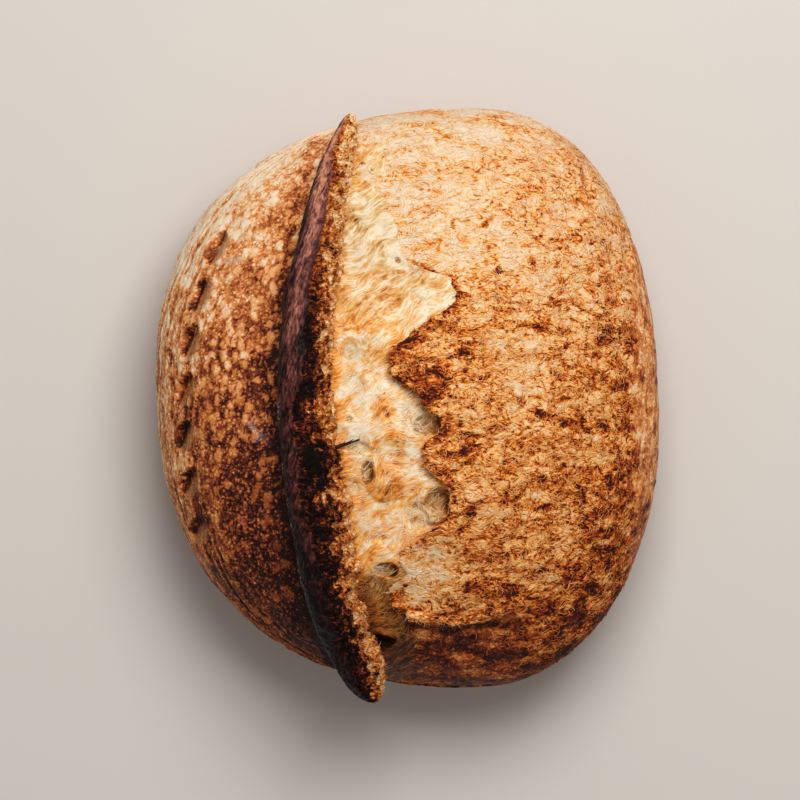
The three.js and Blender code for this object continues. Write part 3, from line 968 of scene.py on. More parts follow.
def crumb_spots(x, y, curls, fine_silk):
    """Height, browning and hollowness that ovals, bands along short lines and the toasted bubble's
    ring add to the crumb."""
    rise, bake, hollow = np.zeros_like(x), np.zeros_like(x), np.zeros_like(x)
    for at_x, at_y, across, length, height, tone, sunk in CRUMB_FORMS:
        reach = oval(x + 0.8 * curls[..., 0], y + 0.8 * curls[..., 1], at_x, at_y, across, length)
        shape = 1 - ease(reach, 0.5, 1.15)
        rise = rise + height * shape
        bake = bake + tone * shape * (0.8 + 0.8 * (0.5 - fine_silk))
        hollow = np.maximum(hollow, sunk * (1 - ease(reach, 0.7, 1.05)))
    for from_x, from_y, to_x, to_y, width in CRUMB_STREAKS:
        run_x, run_y = to_x - from_x, to_y - from_y
        share = np.clip(((x - from_x) * run_x + (y - from_y) * run_y) / (run_x**2 + run_y**2), 0, 1)
        off_x, off_y = x - from_x - share * run_x, y - from_y - share * run_y
        distance = np.hypot(off_x + 1.5 * curls[..., 0], off_y + 1.5 * curls[..., 1])
        bake = bake + 0.32 * hill(distance, width) * (0.6 + 0.8 * noise(stacked(x, y, 0) / 2.0, 92))
    blob = np.hypot(x - TOASTED_BUBBLE[0], y - TOASTED_BUBBLE[1])
    rise = rise + 0.9 * hill(blob - 6.2, 1.1) - 0.5 * hill(blob - 3.6, 1.0)
    return rise, bake + 0.14 * hill(blob - 6.2, 1.2), hollow


def burst_pockets(x, y, curls, depth):
    """Depth of the crumb with the burst bubbles as round bowls in it, and inside them the painted
    shade, darkest towards the right under the bloom's lip, and the hollowness."""
    bake, hollow = np.zeros_like(x), np.zeros_like(x)
    for at_x, at_y, across, length, deep, sunk in POCKETS:
        reach = oval(x + 1.6 * curls[..., 1], y + 1.6 * curls[..., 2], at_x, at_y, across, length)
        bowl = sunk + deep * np.sqrt(np.clip(1 - reach**2, 0, 1))
        inside = 1 - ease(reach, 0.75, 1.05)
        depth = mix(depth, np.maximum(depth, bowl - 1.5), inside)
        # painted shade: darker inside each bowl and most towards its right, under the bloom's lip
        bake = bake + inside * (0.10 + 0.60 * ease(x - at_x, 0.1 * across, 1.1 * across))
        hollow = np.maximum(hollow, 0.9 * inside)
    return depth, bake, hollow


def crumb_surface(rows=690, columns=130):
    """The torn crumb in the opening: ledges, hollows and burst bubbles below the crust's own
    height, with silky threads. It runs on under the ear and under the bloom's lip."""
    y = rows_along(-114, 107, rows, 0.25)
    left = inside_outline(arc_x(EAR, y) + 3, y)
    right = inside_outline(edge_x(y) + 12, y)
    x = mix(left, right, np.linspace(0, 1, columns))
    past_edge = x - edge_x(y)
    flat = stacked(x, y, 0)
    curls = curls_of(flat, 7, 81)
    flow = crumb_flow(x, y)
    silk = strands(stacked(flow / 2.6, x / 11, y / 11), 86)
    fine_silk = strands(stacked(flow / 1.3, x / 6, y / 6), 90)
    broad = layered(flat / 12, 87, 2)
    gold = layered(stacked(flow / 7, x / 9, y / 9), 91, 3)
    bubbles, rings, small, holes = crumb_bubbles(flat, flat + 2.8 * curls)
    spot_rise, spot_tone, spot_hollow = crumb_spots(x, y, curls, fine_silk)
    shut = ease(y, 101, 106) + ease(-y, 105, 112)
    depth = mix(opening_depth(x, y), 2.5, shut)
    depth, pocket_shade, pocket_hollow = burst_pockets(x, y, curls, depth)
    front = 1 - ease(y, -60, 40)
    creamy = ease(y, 20, 45)
    glassy = ease(y + 6 * broad, 46, 60) * (1 - ease(y, 76, 92)) * (1 - ease(past_edge, -2, 2))

    relief = 0.7 * bubbles + 0.2 * small + 1.2 * holes - spot_rise
    relief = relief - 0.14 * silk - 0.06 * fine_silk - 0.2 * rings - 0.45 * broad
    top = stacked(x, y, crust_height(x, y))
    flush = np.clip((hill(past_edge, 3.5) + ease(past_edge, -1, 1)) * ease(y, 36, 50), 0, 1)
    depth = mix(depth + relief * (1 - 0.8 * shut), SKIN_SINK + 0.15 - skin_relief(top), flush * (1 - shut))
    top[..., 2] = top[..., 2] - np.maximum(depth, 0.1)
    low = top[:, [-1, 0]] - np.array([0, 0, 9])  # the closed underside, hidden by the other pieces
    points = np.concatenate([top, low], axis=1)

    by_ear = away_from_ear(x, y)
    warm = layered(flat / 4, 88, 2)
    bake = 0.19 + 0.09 * front + 0.04 * hill(y - 38, 14) + 0.18 * gold + 0.01 * creamy
    # painted shade: the round holes are darker; the silky strands are painted paler, partly as painted sheen
    bake = bake - 0.09 * silk - 0.07 * fine_silk + 0.30 * holes - 0.06 * rings - 0.04 * hill(y + 15, 18)
    bake = bake + spot_tone + pocket_shade
    brown_edge = 0.10 * hill(past_edge + 1.5, 1.6) * ease(gold, -0.1, 0.3)
    # in the glassy patch the silky strands are painted paler still, partly as painted sheen
    bake = bake + glassy * (0.02 - 0.16 * (silk - 0.4) + brown_edge)
    bake = bake + 0.26 * ease(-by_ear - 3.0 * warm, -4.5, 0.5) * (1 - 0.4 * ease(y, 40, 100))
    bake = bake + 0.15 * ease(warm, 0.0, 0.5) * (1 - ease(y, -40, 60))
    # painted shade: darker beside the bloom's edge, under its lip
    bake = bake + 0.16 * hill(past_edge, 3) * (1 - ease(y, 0, 60))
    # darker at the front: partly toasted crumb, partly painted shade on the steep front
    bake = bake + 0.44 * (1 - ease(y, -86, -64)) + 0.30 * (1 - ease(y, -104, -92))

    sunk = 0.40 * bubbles + 0.2 * small + holes + 0.3 * ease(-broad, 0.0, 0.5) * ease(x - left, 6, 12)
    sunk = sunk * (1 - 0.65 * front)
    olive = 0.75 * (1 - ease(y, -74, -62)) * ease(past_edge, -12, -6)
    # hollow: glassy crumb and the insides of bubbles and pockets, where the beige tones are partly painted
    # shade
    parts = [sunk, spot_hollow, pocket_hollow, 0.80 * glassy, 0.50 * creamy + 0 * x, olive]
    hollow = np.clip(np.max(parts, axis=0) * ease(y, -104, -96), 0, 1)
    masks = {"bake": np.minimum(bake, 0.88), "hollow": hollow, "flow": flow}
    return points, {key: np.append(value, value[:, [-1, 0]], axis=1) for key, value in masks.items()}


def ear_taper(y):
    """The ear's size at y: full where it is widest, and smaller by the square of the distance."""
    return 1 - EAR["narrowing"] * (y - EAR["widest_y"]) ** 2


def away_from_ear(x, y):
    """How far a place in plan lies to the right of the ear's torn foot."""
    return x - arc_x(EAR, y) - (EAR["torn_width"] - 1) * ear_taper(y)


def ear_profile(angle):
    """Across and up of the ear's section at an angle round it: steep on the left, sloping on the
    right, the crest at a quarter turn."""
    side, up = np.cos(angle), np.sin(angle)
    wall = side < 0
    share = signed_power(side, np.where(wall, EAR["wall_power"], EAR["torn_power"]))
    across = np.where(wall, EAR["wall_width"], EAR["torn_width"]) * share
    power = np.where(up > 0, np.where(wall, EAR["wall_rise_power"], EAR["torn_power"]), 1.0)
    height = np.where(up > 0, EAR["rise"], EAR["sunk"]) * signed_power(up, power)
    return np.stack([across, height - EAR["torn_drop"] * np.maximum(0, share) ** 2], axis=-1)


# Scorched and paler places on the ear: y, across, radii along and across, added browning.
EAR_MARKS = [
    (24.0, 2.0, 7.0, 3.5, 0.16),
    (5.5, 6.0, 2.0, 5.0, 0.22),
    (-11.0, 6.5, 3.0, 5.0, 0.15),
    (-25.0, 6.0, 9.0, 5.0, 0.30),
    (-10.0, 2.5, 2.6, 2.2, -0.22),
    (-16.0, 1.8, 1.6, 1.6, -0.20),
    (-43.0, 6.5, 4.5, 3.5, 0.22),
    (40.5, -1.5, 1.2, 1.8, 0.05),
    (88.0, 3.5, 6.0, 3.0, 0.12),
]
EAR_TOP = 110.4  # nothing of the ear rises higher


def ear_grid(rows, columns):
    """The ear's points before the fine relief, its section carried along its foot and tapered to
    both tips. Also returns Y by row, angle and millimetres across by column, and the size."""
    middle, half = (EAR["back_y"] + EAR["front_y"]) / 2, (EAR["back_y"] - EAR["front_y"]) / 2
    spread = rows_along(-1, 1, rows, 0.45) * 0.9999
    y = middle + half * spread
    foot, out, across = ear_foot(y[:, 0])
    blunt = np.where(spread > 0, EAR["blunt_back"], EAR["blunt_front"])
    size = ear_taper(y) * (1 - np.abs(spread) ** blunt) ** 0.4

    def by_sight(angle):
        """Fewer columns low on the section, where the ear is sunk in the crust."""
        return np.where(np.sin(angle) > -0.35, 1.0, 0.25)

    angle = even_angles(ear_profile, -math.pi / 2, 3 * math.pi / 2, columns + 1, by_sight)[:-1]
    profile = ear_profile(angle)
    waves = sum(height * np.sin(2 * math.pi * y / length) for height, length in CREST_WAVES)
    along = stacked(0, y[:, 0], 0)
    reach = 0.16 * hill(y + 42, 20) - 0.26 * hill(y + 84, 15) - 0.12 * hill(y - 12, 16)
    reach = reach + (0.34 * layered(along / 9, 102, 2) + 0.12 * layered(along / 2.4, 103, 2))[:, None]
    ragged = 1 + reach * ease(profile[:, 0], 0, EAR["torn_width"])
    bulge = 1.9 * hill(y + 86, 24) * ease(-profile[:, 0], 0, EAR["wall_width"])
    sideways = profile[:, 0] * ragged * size - bulge
    height = EAR["centre_up"] + profile[:, 1] * (1 + waves * np.maximum(0, np.sin(angle))) * size
    points = foot[:, None] + across[:, None] * sideways[..., None] + out[:, None] * height[..., None]
    return points, y, angle, profile[:, 0], size


def ear_browning(y, flat_across, place, curls, broad, long_folds, rough):
    """Browning of the ear in bands, from the left face over the burnt crest to the torn foot, each
    nearly black in front and browner behind, with the scorched places added. The left face also has
    a painted highlight down its middle, painted highlights along its folds, and painted shade at its
    foot."""
    behind = ease(y, -60, 105) + 0 * place
    late = ease(y, 10, 75)
    # painted highlight: a paler streak down the middle of the satin face
    painted_sheen = hill(flat_across + 4.2 + 1.8 * curls[..., 1], 4.4)
    face = mix(1.0, 0.84, behind) + 0.14 * ease(-y, 40, 80) - 0.34 * painted_sheen * (0.45 + 0.55 * behind)
    # painted highlights: the face is paler along its long folds
    face = face + 0.08 * broad + 0.30 * (0.5 - long_folds) - 0.08 * ease(y, 40, 100)
    # painted shade: the left face turns nearly black at its foot, in the crease
    face = mix(face, mix(1.02, 0.97, behind), ease(-flat_across, 8.6, 10.8))
    burnt = mix(1.04, 0.55, late) + 0.4 * rough
    brown = mix(mix(0.90, 0.52, behind), 0.35, late) + rough
    fringe = mix(0.57, 0.35, behind) + rough
    foot_tone = mix(0.36, 0.27, behind) + 0.6 * rough
    bake = mix(face, burnt, ease(place, -0.14, 0.04))
    place = place - 0.17 * (1 - ease(y, 40, 75)) * ease(y, -70, -20)
    bake = mix(bake, brown, ease(place, 0.26, 0.40))
    bake = mix(bake, fringe, ease(place, 0.52, 0.66))
    bake = mix(bake, foot_tone, ease(place, 0.72, 0.82))
    mark_y, mark_across = y + 1.5 * curls[..., 0], flat_across + 1.2 * curls[..., 1]
    for at_y, at_across, length, width, tone in EAR_MARKS:
        reach = oval(mark_y, mark_across, at_y, at_across, length, width)
        bake = bake + tone * (1 - ease(reach, 0.5, 1.2))
    return bake


def ear_surface(rows=640, columns=138):
    """The ear: satin and wrinkled on its left face, ragged at the crest, and torn into crags and
    threads on the right."""
    points, y, angle, across, size = ear_grid(rows, columns)
    normals = outward(points)
    flat_across = across[None, :] + 0 * y  # millimetres from the crest line
    above = ease(np.sin(angle), -0.3, 0.1)[None, :] + 0 * y
    curls = curls_of(points, 5, 91)
    wander = layered(stacked(0, y[:, 0], 0) / 11, 101, 3)[:, None]
    torn_from = -1.5 + 4.2 * ease(y, -8, 22) * (1 - ease(y, 78, 104))
    place = (flat_across + 2.2 * wander + 1.1 * curls[..., 0] - torn_from) / (EAR["torn_width"] - torn_from)
    torn = ease(place, 0.0, 0.2) * above
    crest = plateau(place - 0.1, 0.22) * above
    wall = (1 - ease(place, -0.14, 0.02)) * above

    crags = layered((points + 1.5 * curls) / np.array([3.0, 3.4, 3.0]), 94, 3, 0.6)
    threads = strands((points + 1.6 * curls) / np.array([3.2, 1.4, 1.9]), 95)
    slanted = points @ np.array([[1, 0.35, 0], [-0.35, 1, 0], [0, 0, 1]])
    long_folds = strands(slanted / np.array([1.5, 13, 2.2]), 96)
    broad = layered(points / 12, 97, 3)
    lifted = torn * (1.25 * crags + 0.8 * (threads - 0.5)) + crest * 0.9 * layered(points / 2.1, 98, 3) - 0.7
    lifted = lifted + wall * (0.40 * long_folds + 0.28 * layered(points / 2.6, 99, 2)) + 0.5 * broad
    points = points + normals * (lifted * np.minimum(1, size * 1.5) * above)[..., None]
    points[..., 2] = np.minimum(points[..., 2], EAR_TOP - 0.3 * np.exp(points[..., 2] - EAR_TOP))

    rough = 0.52 * crags + 0.40 * (0.5 - threads)
    bake = ear_browning(y, flat_across, place, curls, broad, long_folds, rough)
    crease = hill(flat_across + 10.6, 0.8) * above
    broken = ease(layered(points / 7, 44, 2), -0.1, 0.25)
    grains = ease(layered(points, 43, 2), 0.14, 0.34) * ease(-y, -8, 5) * (1 - ease(-y, 66, 80))
    return points, {"bake": bake, "satin": wall * (1 - crest), "flour": 0.9 * crease * broken * grains}


# ---- loose fibres ----

# Fibres of each kind: the least share of their length and the power of its random rest, the least
# and the random share of their width, their random turning, and their least and random lift.
FIBRE_KINDS = {
    "lip_fibre": (0.35, 2, 0.20, 0.30, 1.2, 0.00, 0.30),
    "bloom_fibre": (0.40, 1, 0.16, 0.16, 2.0, 0.04, 0.16),
    "web_fibre": (0.40, 2, 0.12, 0.14, 0.6, 0.02, 0.14),
    "ear_fibre": (0.30, 2, 0.20, 0.30, 1.6, 0.00, 0.30),
}
# Fibres that lie on the bloom: name, added browning, spread of it, seed.
BLOOM_FIBRES = [
    ("pale_fibres", -0.26, 0.06, 21),
    ("golden_fibres", -0.10, 0.10, 22),
    ("toasted_fibres", 0.18, 0.12, 23),
]
# Branches of the burnt strand: x, y and height over the crust of the root, direction, length,
# width, turning and lift.
BURNT_STRAND = np.array([
    (-29.5, -19.6, 0.5, 3.0, 0.9, 0.12, 11.0, 0.85, 0.25, 0.3),
    (-27.0, -18.6, 0.3, 3.0, 0.9, 0.05, 9.5, 0.60, -0.20, 0.2),
    (-24.5, -18.0, 0.1, 2.4, 1.3, 0.20, 4.0, 0.45, 0.50, 0.1),
    (-26.0, -18.4, 0.2, 1.6, 1.8, 0.30, 2.0, 0.40, 0.40, 0.1),
])
BURNT_TONE = 0.9


TRIES = 25  # random places looked at for each root that is kept


def torn_roots(points, chosen, count, seed):
    """Random places of a grid, spread evenly over its area and thinned by chosen: their points and
    normals, their place in the grid, and the random source."""
    random = np.random.default_rng(seed)
    area = np.linalg.norm(np.cross(np.gradient(points, axis=0), np.gradient(points, axis=1)), axis=-1)
    chosen = chosen * np.minimum(1, area / np.percentile(area, 90))[:, : chosen.shape[1]]
    row = random.integers(2, points.shape[0] - 2, count * TRIES)
    column = random.integers(0, chosen.shape[1], count * TRIES)
    keep = np.nonzero(chosen[row, column] > random.random(count * TRIES))[0][:count]
    row, column = row[keep], column[keep]
    return points[row, column], outward(points)[row, column], (row, column), random


def fibre_sizes(form, kind, random, count):
    """Length, width, turning and lift of each fibre of a kind, drawn in that order."""
    least, power, slim, spread, curl, flat, bulge = FIBRE_KINDS[kind]
    length = getattr(form, kind) / MM * (least + random.random(count) ** power)
    width = form.fibre_width / MM * (slim + spread * random.random(count))
    return length, width, curl * random.normal(size=count), flat + bulge * random.random(count)


def lying_on_crust(roots, swirl):
    """Over the crust at each root: the way out of it, ahead at an angle from straight across, and
    aside."""
    _, out, along, across = on_crust(roots[:, 0], roots[:, 1])
    ahead = across * np.cos(swirl)[:, None] + along * np.sin(swirl)[:, None]
    return out, ahead, np.cross(out, ahead)


# ---- finishes ----


def linear(code):
    """Linear red, green and blue of a six-figure colour code."""
    shares = np.array([int(code[i : i + 2], 16) for i in (0, 2, 4)]) / 255
    return tuple(np.where(shares <= 0.04045, shares / 12.92, ((shares + 0.055) / 1.055) ** 2.4))


def add_node(tree, kind, inputs=None, **settings):
    """A node with its settings, and each input set to a number or linked to another's output."""
    node = tree.nodes.new(kind)
    for key, value in settings.items():
        setattr(node, key, value)
    for key, value in (inputs or {}).items():
        if isinstance(value, bpy.types.NodeSocket):
            tree.links.new(value, node.inputs[key])
        else:
            node.inputs[key].default_value = value
    return node


def maths(tree, operation, a, b=0.0, clamp=False):
    """Output of one Math node."""
    return add_node(tree, "ShaderNodeMath", {0: a, 1: b}, operation=operation, use_clamp=clamp).outputs[0]


def total(tree, *terms, plus=0.0):
    """A number plus outputs, each of which is multiplied by its own factor."""
    value = plus
    for output, factor in terms:
        node = add_node(tree, "ShaderNodeMath", {0: output, 1: factor, 2: value}, operation="MULTIPLY_ADD")
        value = node.outputs[0]
    return value


def times(tree, a, b):
    """One number multiplied by another."""
    return maths(tree, "MULTIPLY", a, b)


def without(tree, share):
    """What is left of 1 without a share."""
    return maths(tree, "SUBTRACT", 1.0, share)


def blended(tree, share, a, b):
    """Two numbers, each multiplied by its part of 1: a by what the share leaves and b by the share."""
    return maths(tree, "ADD", times(tree, a, without(tree, share)), times(tree, b, share))


def masks_of(tree, *names):
    """Numbers stored on the mesh, 0 where the mesh has none of that name."""
    return [add_node(tree, "ShaderNodeAttribute", attribute_name=name).outputs["Fac"] for name in names]


def between(tree, value, low, high):
    """0 below low, 1 above high, and straight between."""
    limits = {"Value": value, "From Min": low, "From Max": high}
    return add_node(tree, "ShaderNodeMapRange", limits).outputs[0]


def warped_place(tree, scale, reach):
    """Object coordinates pushed about by noise of a scale, by at most half of reach."""
    place = add_node(tree, "ShaderNodeTexCoord").outputs["Object"]
    push = add_node(tree, "ShaderNodeTexNoise", {"Vector": place, "Scale": scale, "Detail": 2.0})
    steps = [("SUBTRACT", {1: (0.5, 0.5, 0.5)}), ("SCALE", {"Scale": reach}), ("ADD", {1: place})]
    value = push.outputs["Color"]
    for operation, inputs in steps:
        value = add_node(tree, "ShaderNodeVectorMath", {0: value, **inputs}, operation=operation).outputs[0]
    return value


def noise_of(tree, place, scale, detail, roughness, stretch=None):
    """Noise on a place, which may be stretched first by a Mapping node."""
    if stretch:
        place = add_node(tree, "ShaderNodeMapping", {"Vector": place, "Scale": stretch}).outputs[0]
    inputs = {"Vector": place, "Scale": scale, "Detail": detail, "Roughness": roughness}
    return add_node(tree, "ShaderNodeTexNoise", inputs).outputs["Fac"]


def streaks_of(tree, flow, place, across, along):
    """Noise drawn out along the level lines of a flow: across is its scale to a unit of flow, and
    along its scale to a metre of place."""
    parts = add_node(tree, "ShaderNodeSeparateXYZ", {0: place}).outputs
    where = {0: times(tree, flow, across), 1: times(tree, parts[0], along), 2: times(tree, parts[1], along)}
    vector = add_node(tree, "ShaderNodeCombineXYZ", where).outputs[0]
    return noise_of(tree, vector, 1.0, 2.0, 0.5)


def threads_of(tree, value, sharpness):
    """1 where noise is at its middle value, falling off on both sides: noise turned into threads."""
    away = maths(tree, "ABSOLUTE", maths(tree, "SUBTRACT", value, 0.5))
    return maths(tree, "SUBTRACT", 1.0, times(tree, away, sharpness), clamp=True)


def ramp_of(tree, tone, tones):
    """Colour of a tone from 0 to 1 along a row of colours, each (place, colour code or colour)."""
    ramp = add_node(tree, "ShaderNodeValToRGB", {"Fac": tone})
    elements = ramp.color_ramp.elements
    elements.remove(elements[-1])
    for number, (at, colour) in enumerate(tones):
        element = elements.new(at) if number else elements[0]
        element.position = at
        element.color = (*(linear(colour) if isinstance(colour, str) else colour), 1.0)
    return ramp.outputs["Color"]


def mixed(tree, share, a, b):
    """Colour a at share 0 and b, a colour or its code, at share 1."""
    b = b if isinstance(b, bpy.types.NodeSocket) else (*linear(b), 1.0)
    return add_node(tree, "ShaderNodeMix", {0: share, 6: a, 7: b}, data_type="RGBA").outputs[2]


def finish_material(tree, colour, rough, **settings):
    """Joins a colour, a roughness and any other settings in one Principled shader."""
    settings = {key.replace("_", " "): value for key, value in settings.items()}
    inputs = {"Base Color": colour, "Roughness": rough, **settings}
    shader = add_node(tree, "ShaderNodeBsdfPrincipled", inputs)
    add_node(tree, "ShaderNodeOutputMaterial", {"Surface": shader.outputs[0]})


def bump_of(tree, height, strength, distance):
    """Normals bent by a height."""
    inputs = {"Height": height, "Strength": strength, "Distance": distance}
    return add_node(tree, "ShaderNodeBump", inputs).outputs[0]


def blank_material(name):
    """A new material with an empty node tree, and that tree."""
    material = bpy.data.materials.new(name)
    material.use_nodes = True
    material.node_tree.nodes.clear()
    return material, material.node_tree


FLOUR = "cfc5b8"
SANDY_TONES = [(0.38, "d6a066"), (0.50, "a2683a"), (0.62, "582f18")]  # floor of a decorative cut
# the beige tones stand partly for painted shade in the crumb's hollows
BEIGE_TONES = [  # glassy crumb in a hollow
    (0.00, "eadbba"),
    (0.15, "d8c092"),
    (0.30, "c09c64"),
    (0.50, "8e6430"),
    (0.75, "4a2c12"),
    (1.00, "1c110a"),
]


def bloom_tones(look):
    """Bloom from cream to nearly black."""
    pale = [(0.00, "f4dec4"), (0.08, "f6d0a0"), (0.16, "f9c27c"), (0.24, "f7ad56"), (0.33, look.bloom_golden)]
    brown = [(0.44, "dd7724"), (0.55, look.bloom_toasted), (0.66, "aa4210"), (0.77, "822c09")]
    return [*pale, *brown, (0.88, look.bloom_dark), (1.00, "331007")]


def crust_tones(look):
    """Old crust from cream to nearly black."""
    pale = [(0.00, "f8e2c6"), (0.12, "f3c89a"), (0.24, "eeab6d"), (0.36, look.crust_golden), (0.47, "cb763b")]
    brown = [(0.57, "af5e2e"), (0.67, "934620"), (0.77, look.crust_brown), (0.88, "491b10")]
    return [*pale, *brown, (1.00, "220b08")]


def torn_tones(look):
    """Torn face of the ear from cream to charred."""
    pale = [(0.00, "f3dcb4"), (0.12, "edc285"), (0.24, "e5a456"), (0.36, "d88434"), (0.47, look.ear_toasted)]
    brown = [(0.57, "9c4618"), (0.67, "782f11"), (0.78, "501d0e"), (0.89, "2a0d09")]
    return [*pale, *brown, (1.00, look.ear_char)]


def satin_tones(look):
    """Smooth outer face of the ear from rosy brown to black."""
    brown = [(0.30, "d6956e"), (0.50, "9c6152"), (0.65, "693733"), (0.78, look.ear_satin)]
    return [*brown, (0.90, "270f0f"), (1.00, "0c0607")]


def crumb_tones(look):
    """Open crumb from cream to dark brown."""
    pale = [(0.00, "fdeed8"), (0.10, look.crumb_cream), (0.22, "f9ba62"), (0.34, "f29c38")]
    brown = [(0.46, look.crumb_toasted), (0.58, "bd6b22"), (0.70, "94490f"), (0.82, "63300f")]
    return [*pale, *brown, (1.00, "24120b")]


def silk_tones(look):
    """Strands on the crumb from nearly white to dark brown."""
    pale = [(0.00, "fff3de"), (0.15, "fbdeb0"), (0.35, "f3b060")]
    return [*pale, (0.60, look.crumb_toasted), (0.80, "6a3610"), (1.00, "24120b")]


def skin_material(name, tones, look):
    """Baked skin. Where "weave" is 1: curled pale threads over a toasted ground with dark pits.
    Where it is 0: fine pale specks and mottling on brown, in the old crust's colours."""
    material, tree = blank_material(name)
    bake, weave, flour, smooth, khaki = masks_of(tree, "bake", "weave", "flour", "smooth", "khaki")
    curled = warped_place(tree, 150.0, 0.006)
    nudged = warped_place(tree, 320.0, 0.0016)
    strand = threads_of(tree, noise_of(tree, curled, 390.0, 1.0, 0.5, (0.5, 1.25, 1.0)), 12.0)
    curl = threads_of(tree, noise_of(tree, nudged, 540.0, 1.0, 0.5, (0.8, 1.1, 1.0)), 9.0)
    threads = maths(tree, "MAXIMUM", strand, times(tree, curl, 0.7))
    dark_curl = threads_of(tree, noise_of(tree, curled, 230.0, 2.0, 0.5, (0.5, 1.25, 1.0)), 14.0)
    pits = between(tree, noise_of(tree, curled, 520.0, 3.0, 0.65, (0.7, 1.2, 1.0)), 0.50, 0.34)
    swirl = noise_of(tree, warped_place(tree, 90.0, 0.010), 75.0, 2.0, 0.5, (0.5, 1.2, 1.0))
    lines = maths(tree, "PINGPONG", times(tree, swirl, 24.0), 0.5)
    pale_line, dark_line = between(tree, lines, 0.34, 0.5), between(tree, lines, 0.14, 0.0)
    grain = noise_of(tree, nudged, 1100.0, 2.0, 0.6)
    specks = between(tree, noise_of(tree, nudged, 820.0, 2.0, 0.55), 0.55, 0.66)
    mottle = noise_of(tree, nudged, 400.0, 4.0, 0.66)
    scale = add_node(tree, "ShaderNodeTexVoronoi", {"Vector": nudged, "Scale": 640.0}).outputs
    own = add_node(tree, "ShaderNodeSeparateColor", {0: scale["Color"]}).outputs[0]
    scales = times(tree, between(tree, own, 0.55, 0.62), between(tree, scale["Distance"], 0.44, 0.30))

    rest = without(tree, times(tree, smooth, 0.7))
    pale, dark = [(threads, -0.34), (grain, -0.30), (pale_line, -0.14)], [(pits, 0.42), (dark_curl, 0.42)]
    woven = total(tree, *pale, *dark, (dark_line, 0.42), plus=0.15)
    plain = total(tree, (specks, -0.28), (scales, -0.24), (mottle, -1.15), (grain, -0.50), plus=0.93)
    tone = maths(tree, "ADD", bake, times(tree, blended(tree, weave, plain, woven), rest))
    golden = times(tree, times(tree, weave, without(tree, smooth)), 0.13)  # the palest threads are toned down
    tone = maths(tree, "MAXIMUM", tone, total(tree, (tone, 0.4), (golden, 1.0)))
    colour = mixed(tree, weave, ramp_of(tree, tone, crust_tones(look)), ramp_of(tree, tone, tones))
    sandy = ramp_of(tree, total(tree, (grain, 0.6), (mottle, 0.4)), SANDY_TONES)
    colour = mixed(tree, times(tree, khaki, 0.7), colour, sandy)
    colour = mixed(tree, times(tree, flour, between(tree, grain, 0.35, 0.6)), colour, FLOUR)

    sunk = [(pits, -0.6), (dark_curl, -0.3), (dark_line, -0.3)]
    woven_height = total(tree, (threads, 0.5), (grain, 0.2), *sunk)
    plain_height = total(tree, (specks, 0.25), (scales, 0.3), (mottle, 0.7), (grain, 0.3))
    height = blended(tree, weave, times(tree, plain_height, rest), woven_height)
    rough = total(tree, (weave, 0.14), (mottle, 0.35), plus=0.40)
    bump = bump_of(tree, height, 0.8, 0.0005)
    finish_material(tree, colour, rough, Normal=bump, Specular_IOR_Level=0.18)
    return material


def crumb_material(look):
    """Crumb: soft, with silky threads and fine pores, olive-beige in its hollows, partly as painted
    shade, and a little light passing through. The silky threads are painted paler, partly as
    painted sheen."""
    material, tree = blank_material("silky_crumb")
    bake, hollow, flow = masks_of(tree, "bake", "hollow", "flow")
    place = warped_place(tree, 120.0, 0.009)
    silk = threads_of(tree, streaks_of(tree, flow, place, 0.75, 130.0), 9.0)
    fine_silk = threads_of(tree, streaks_of(tree, flow, place, 1.5, 260.0), 8.0)
    pores = noise_of(tree, place, 700.0, 3.0, 0.6)
    cloud = streaks_of(tree, flow, place, 0.35, 110.0)
    # the silky threads are painted paler, partly as painted sheen
    change = total(tree, (silk, -0.16), (fine_silk, -0.12), (pores, -0.30), (cloud, -0.60), plus=0.56)
    tone = maths(tree, "ADD", bake, change)
    cream, beige = ramp_of(tree, tone, crumb_tones(look)), ramp_of(tree, tone, BEIGE_TONES)
    # beige in the hollows, partly as painted shade
    colour = mixed(tree, times(tree, hollow, 0.85), cream, beige)
    bump = bump_of(tree, total(tree, (silk, 0.5), (fine_silk, 0.25), (pores, 0.4)), 0.35, 0.0004)
    soft = {"Subsurface_Weight": 0.22, "Subsurface_Radius": (1.0, 0.62, 0.35), "Subsurface_Scale": 0.002}
    rough = total(tree, (silk, -0.2), plus=0.68)
    finish_material(tree, colour, rough, Normal=bump, Specular_IOR_Level=0.3, **soft)
    return material


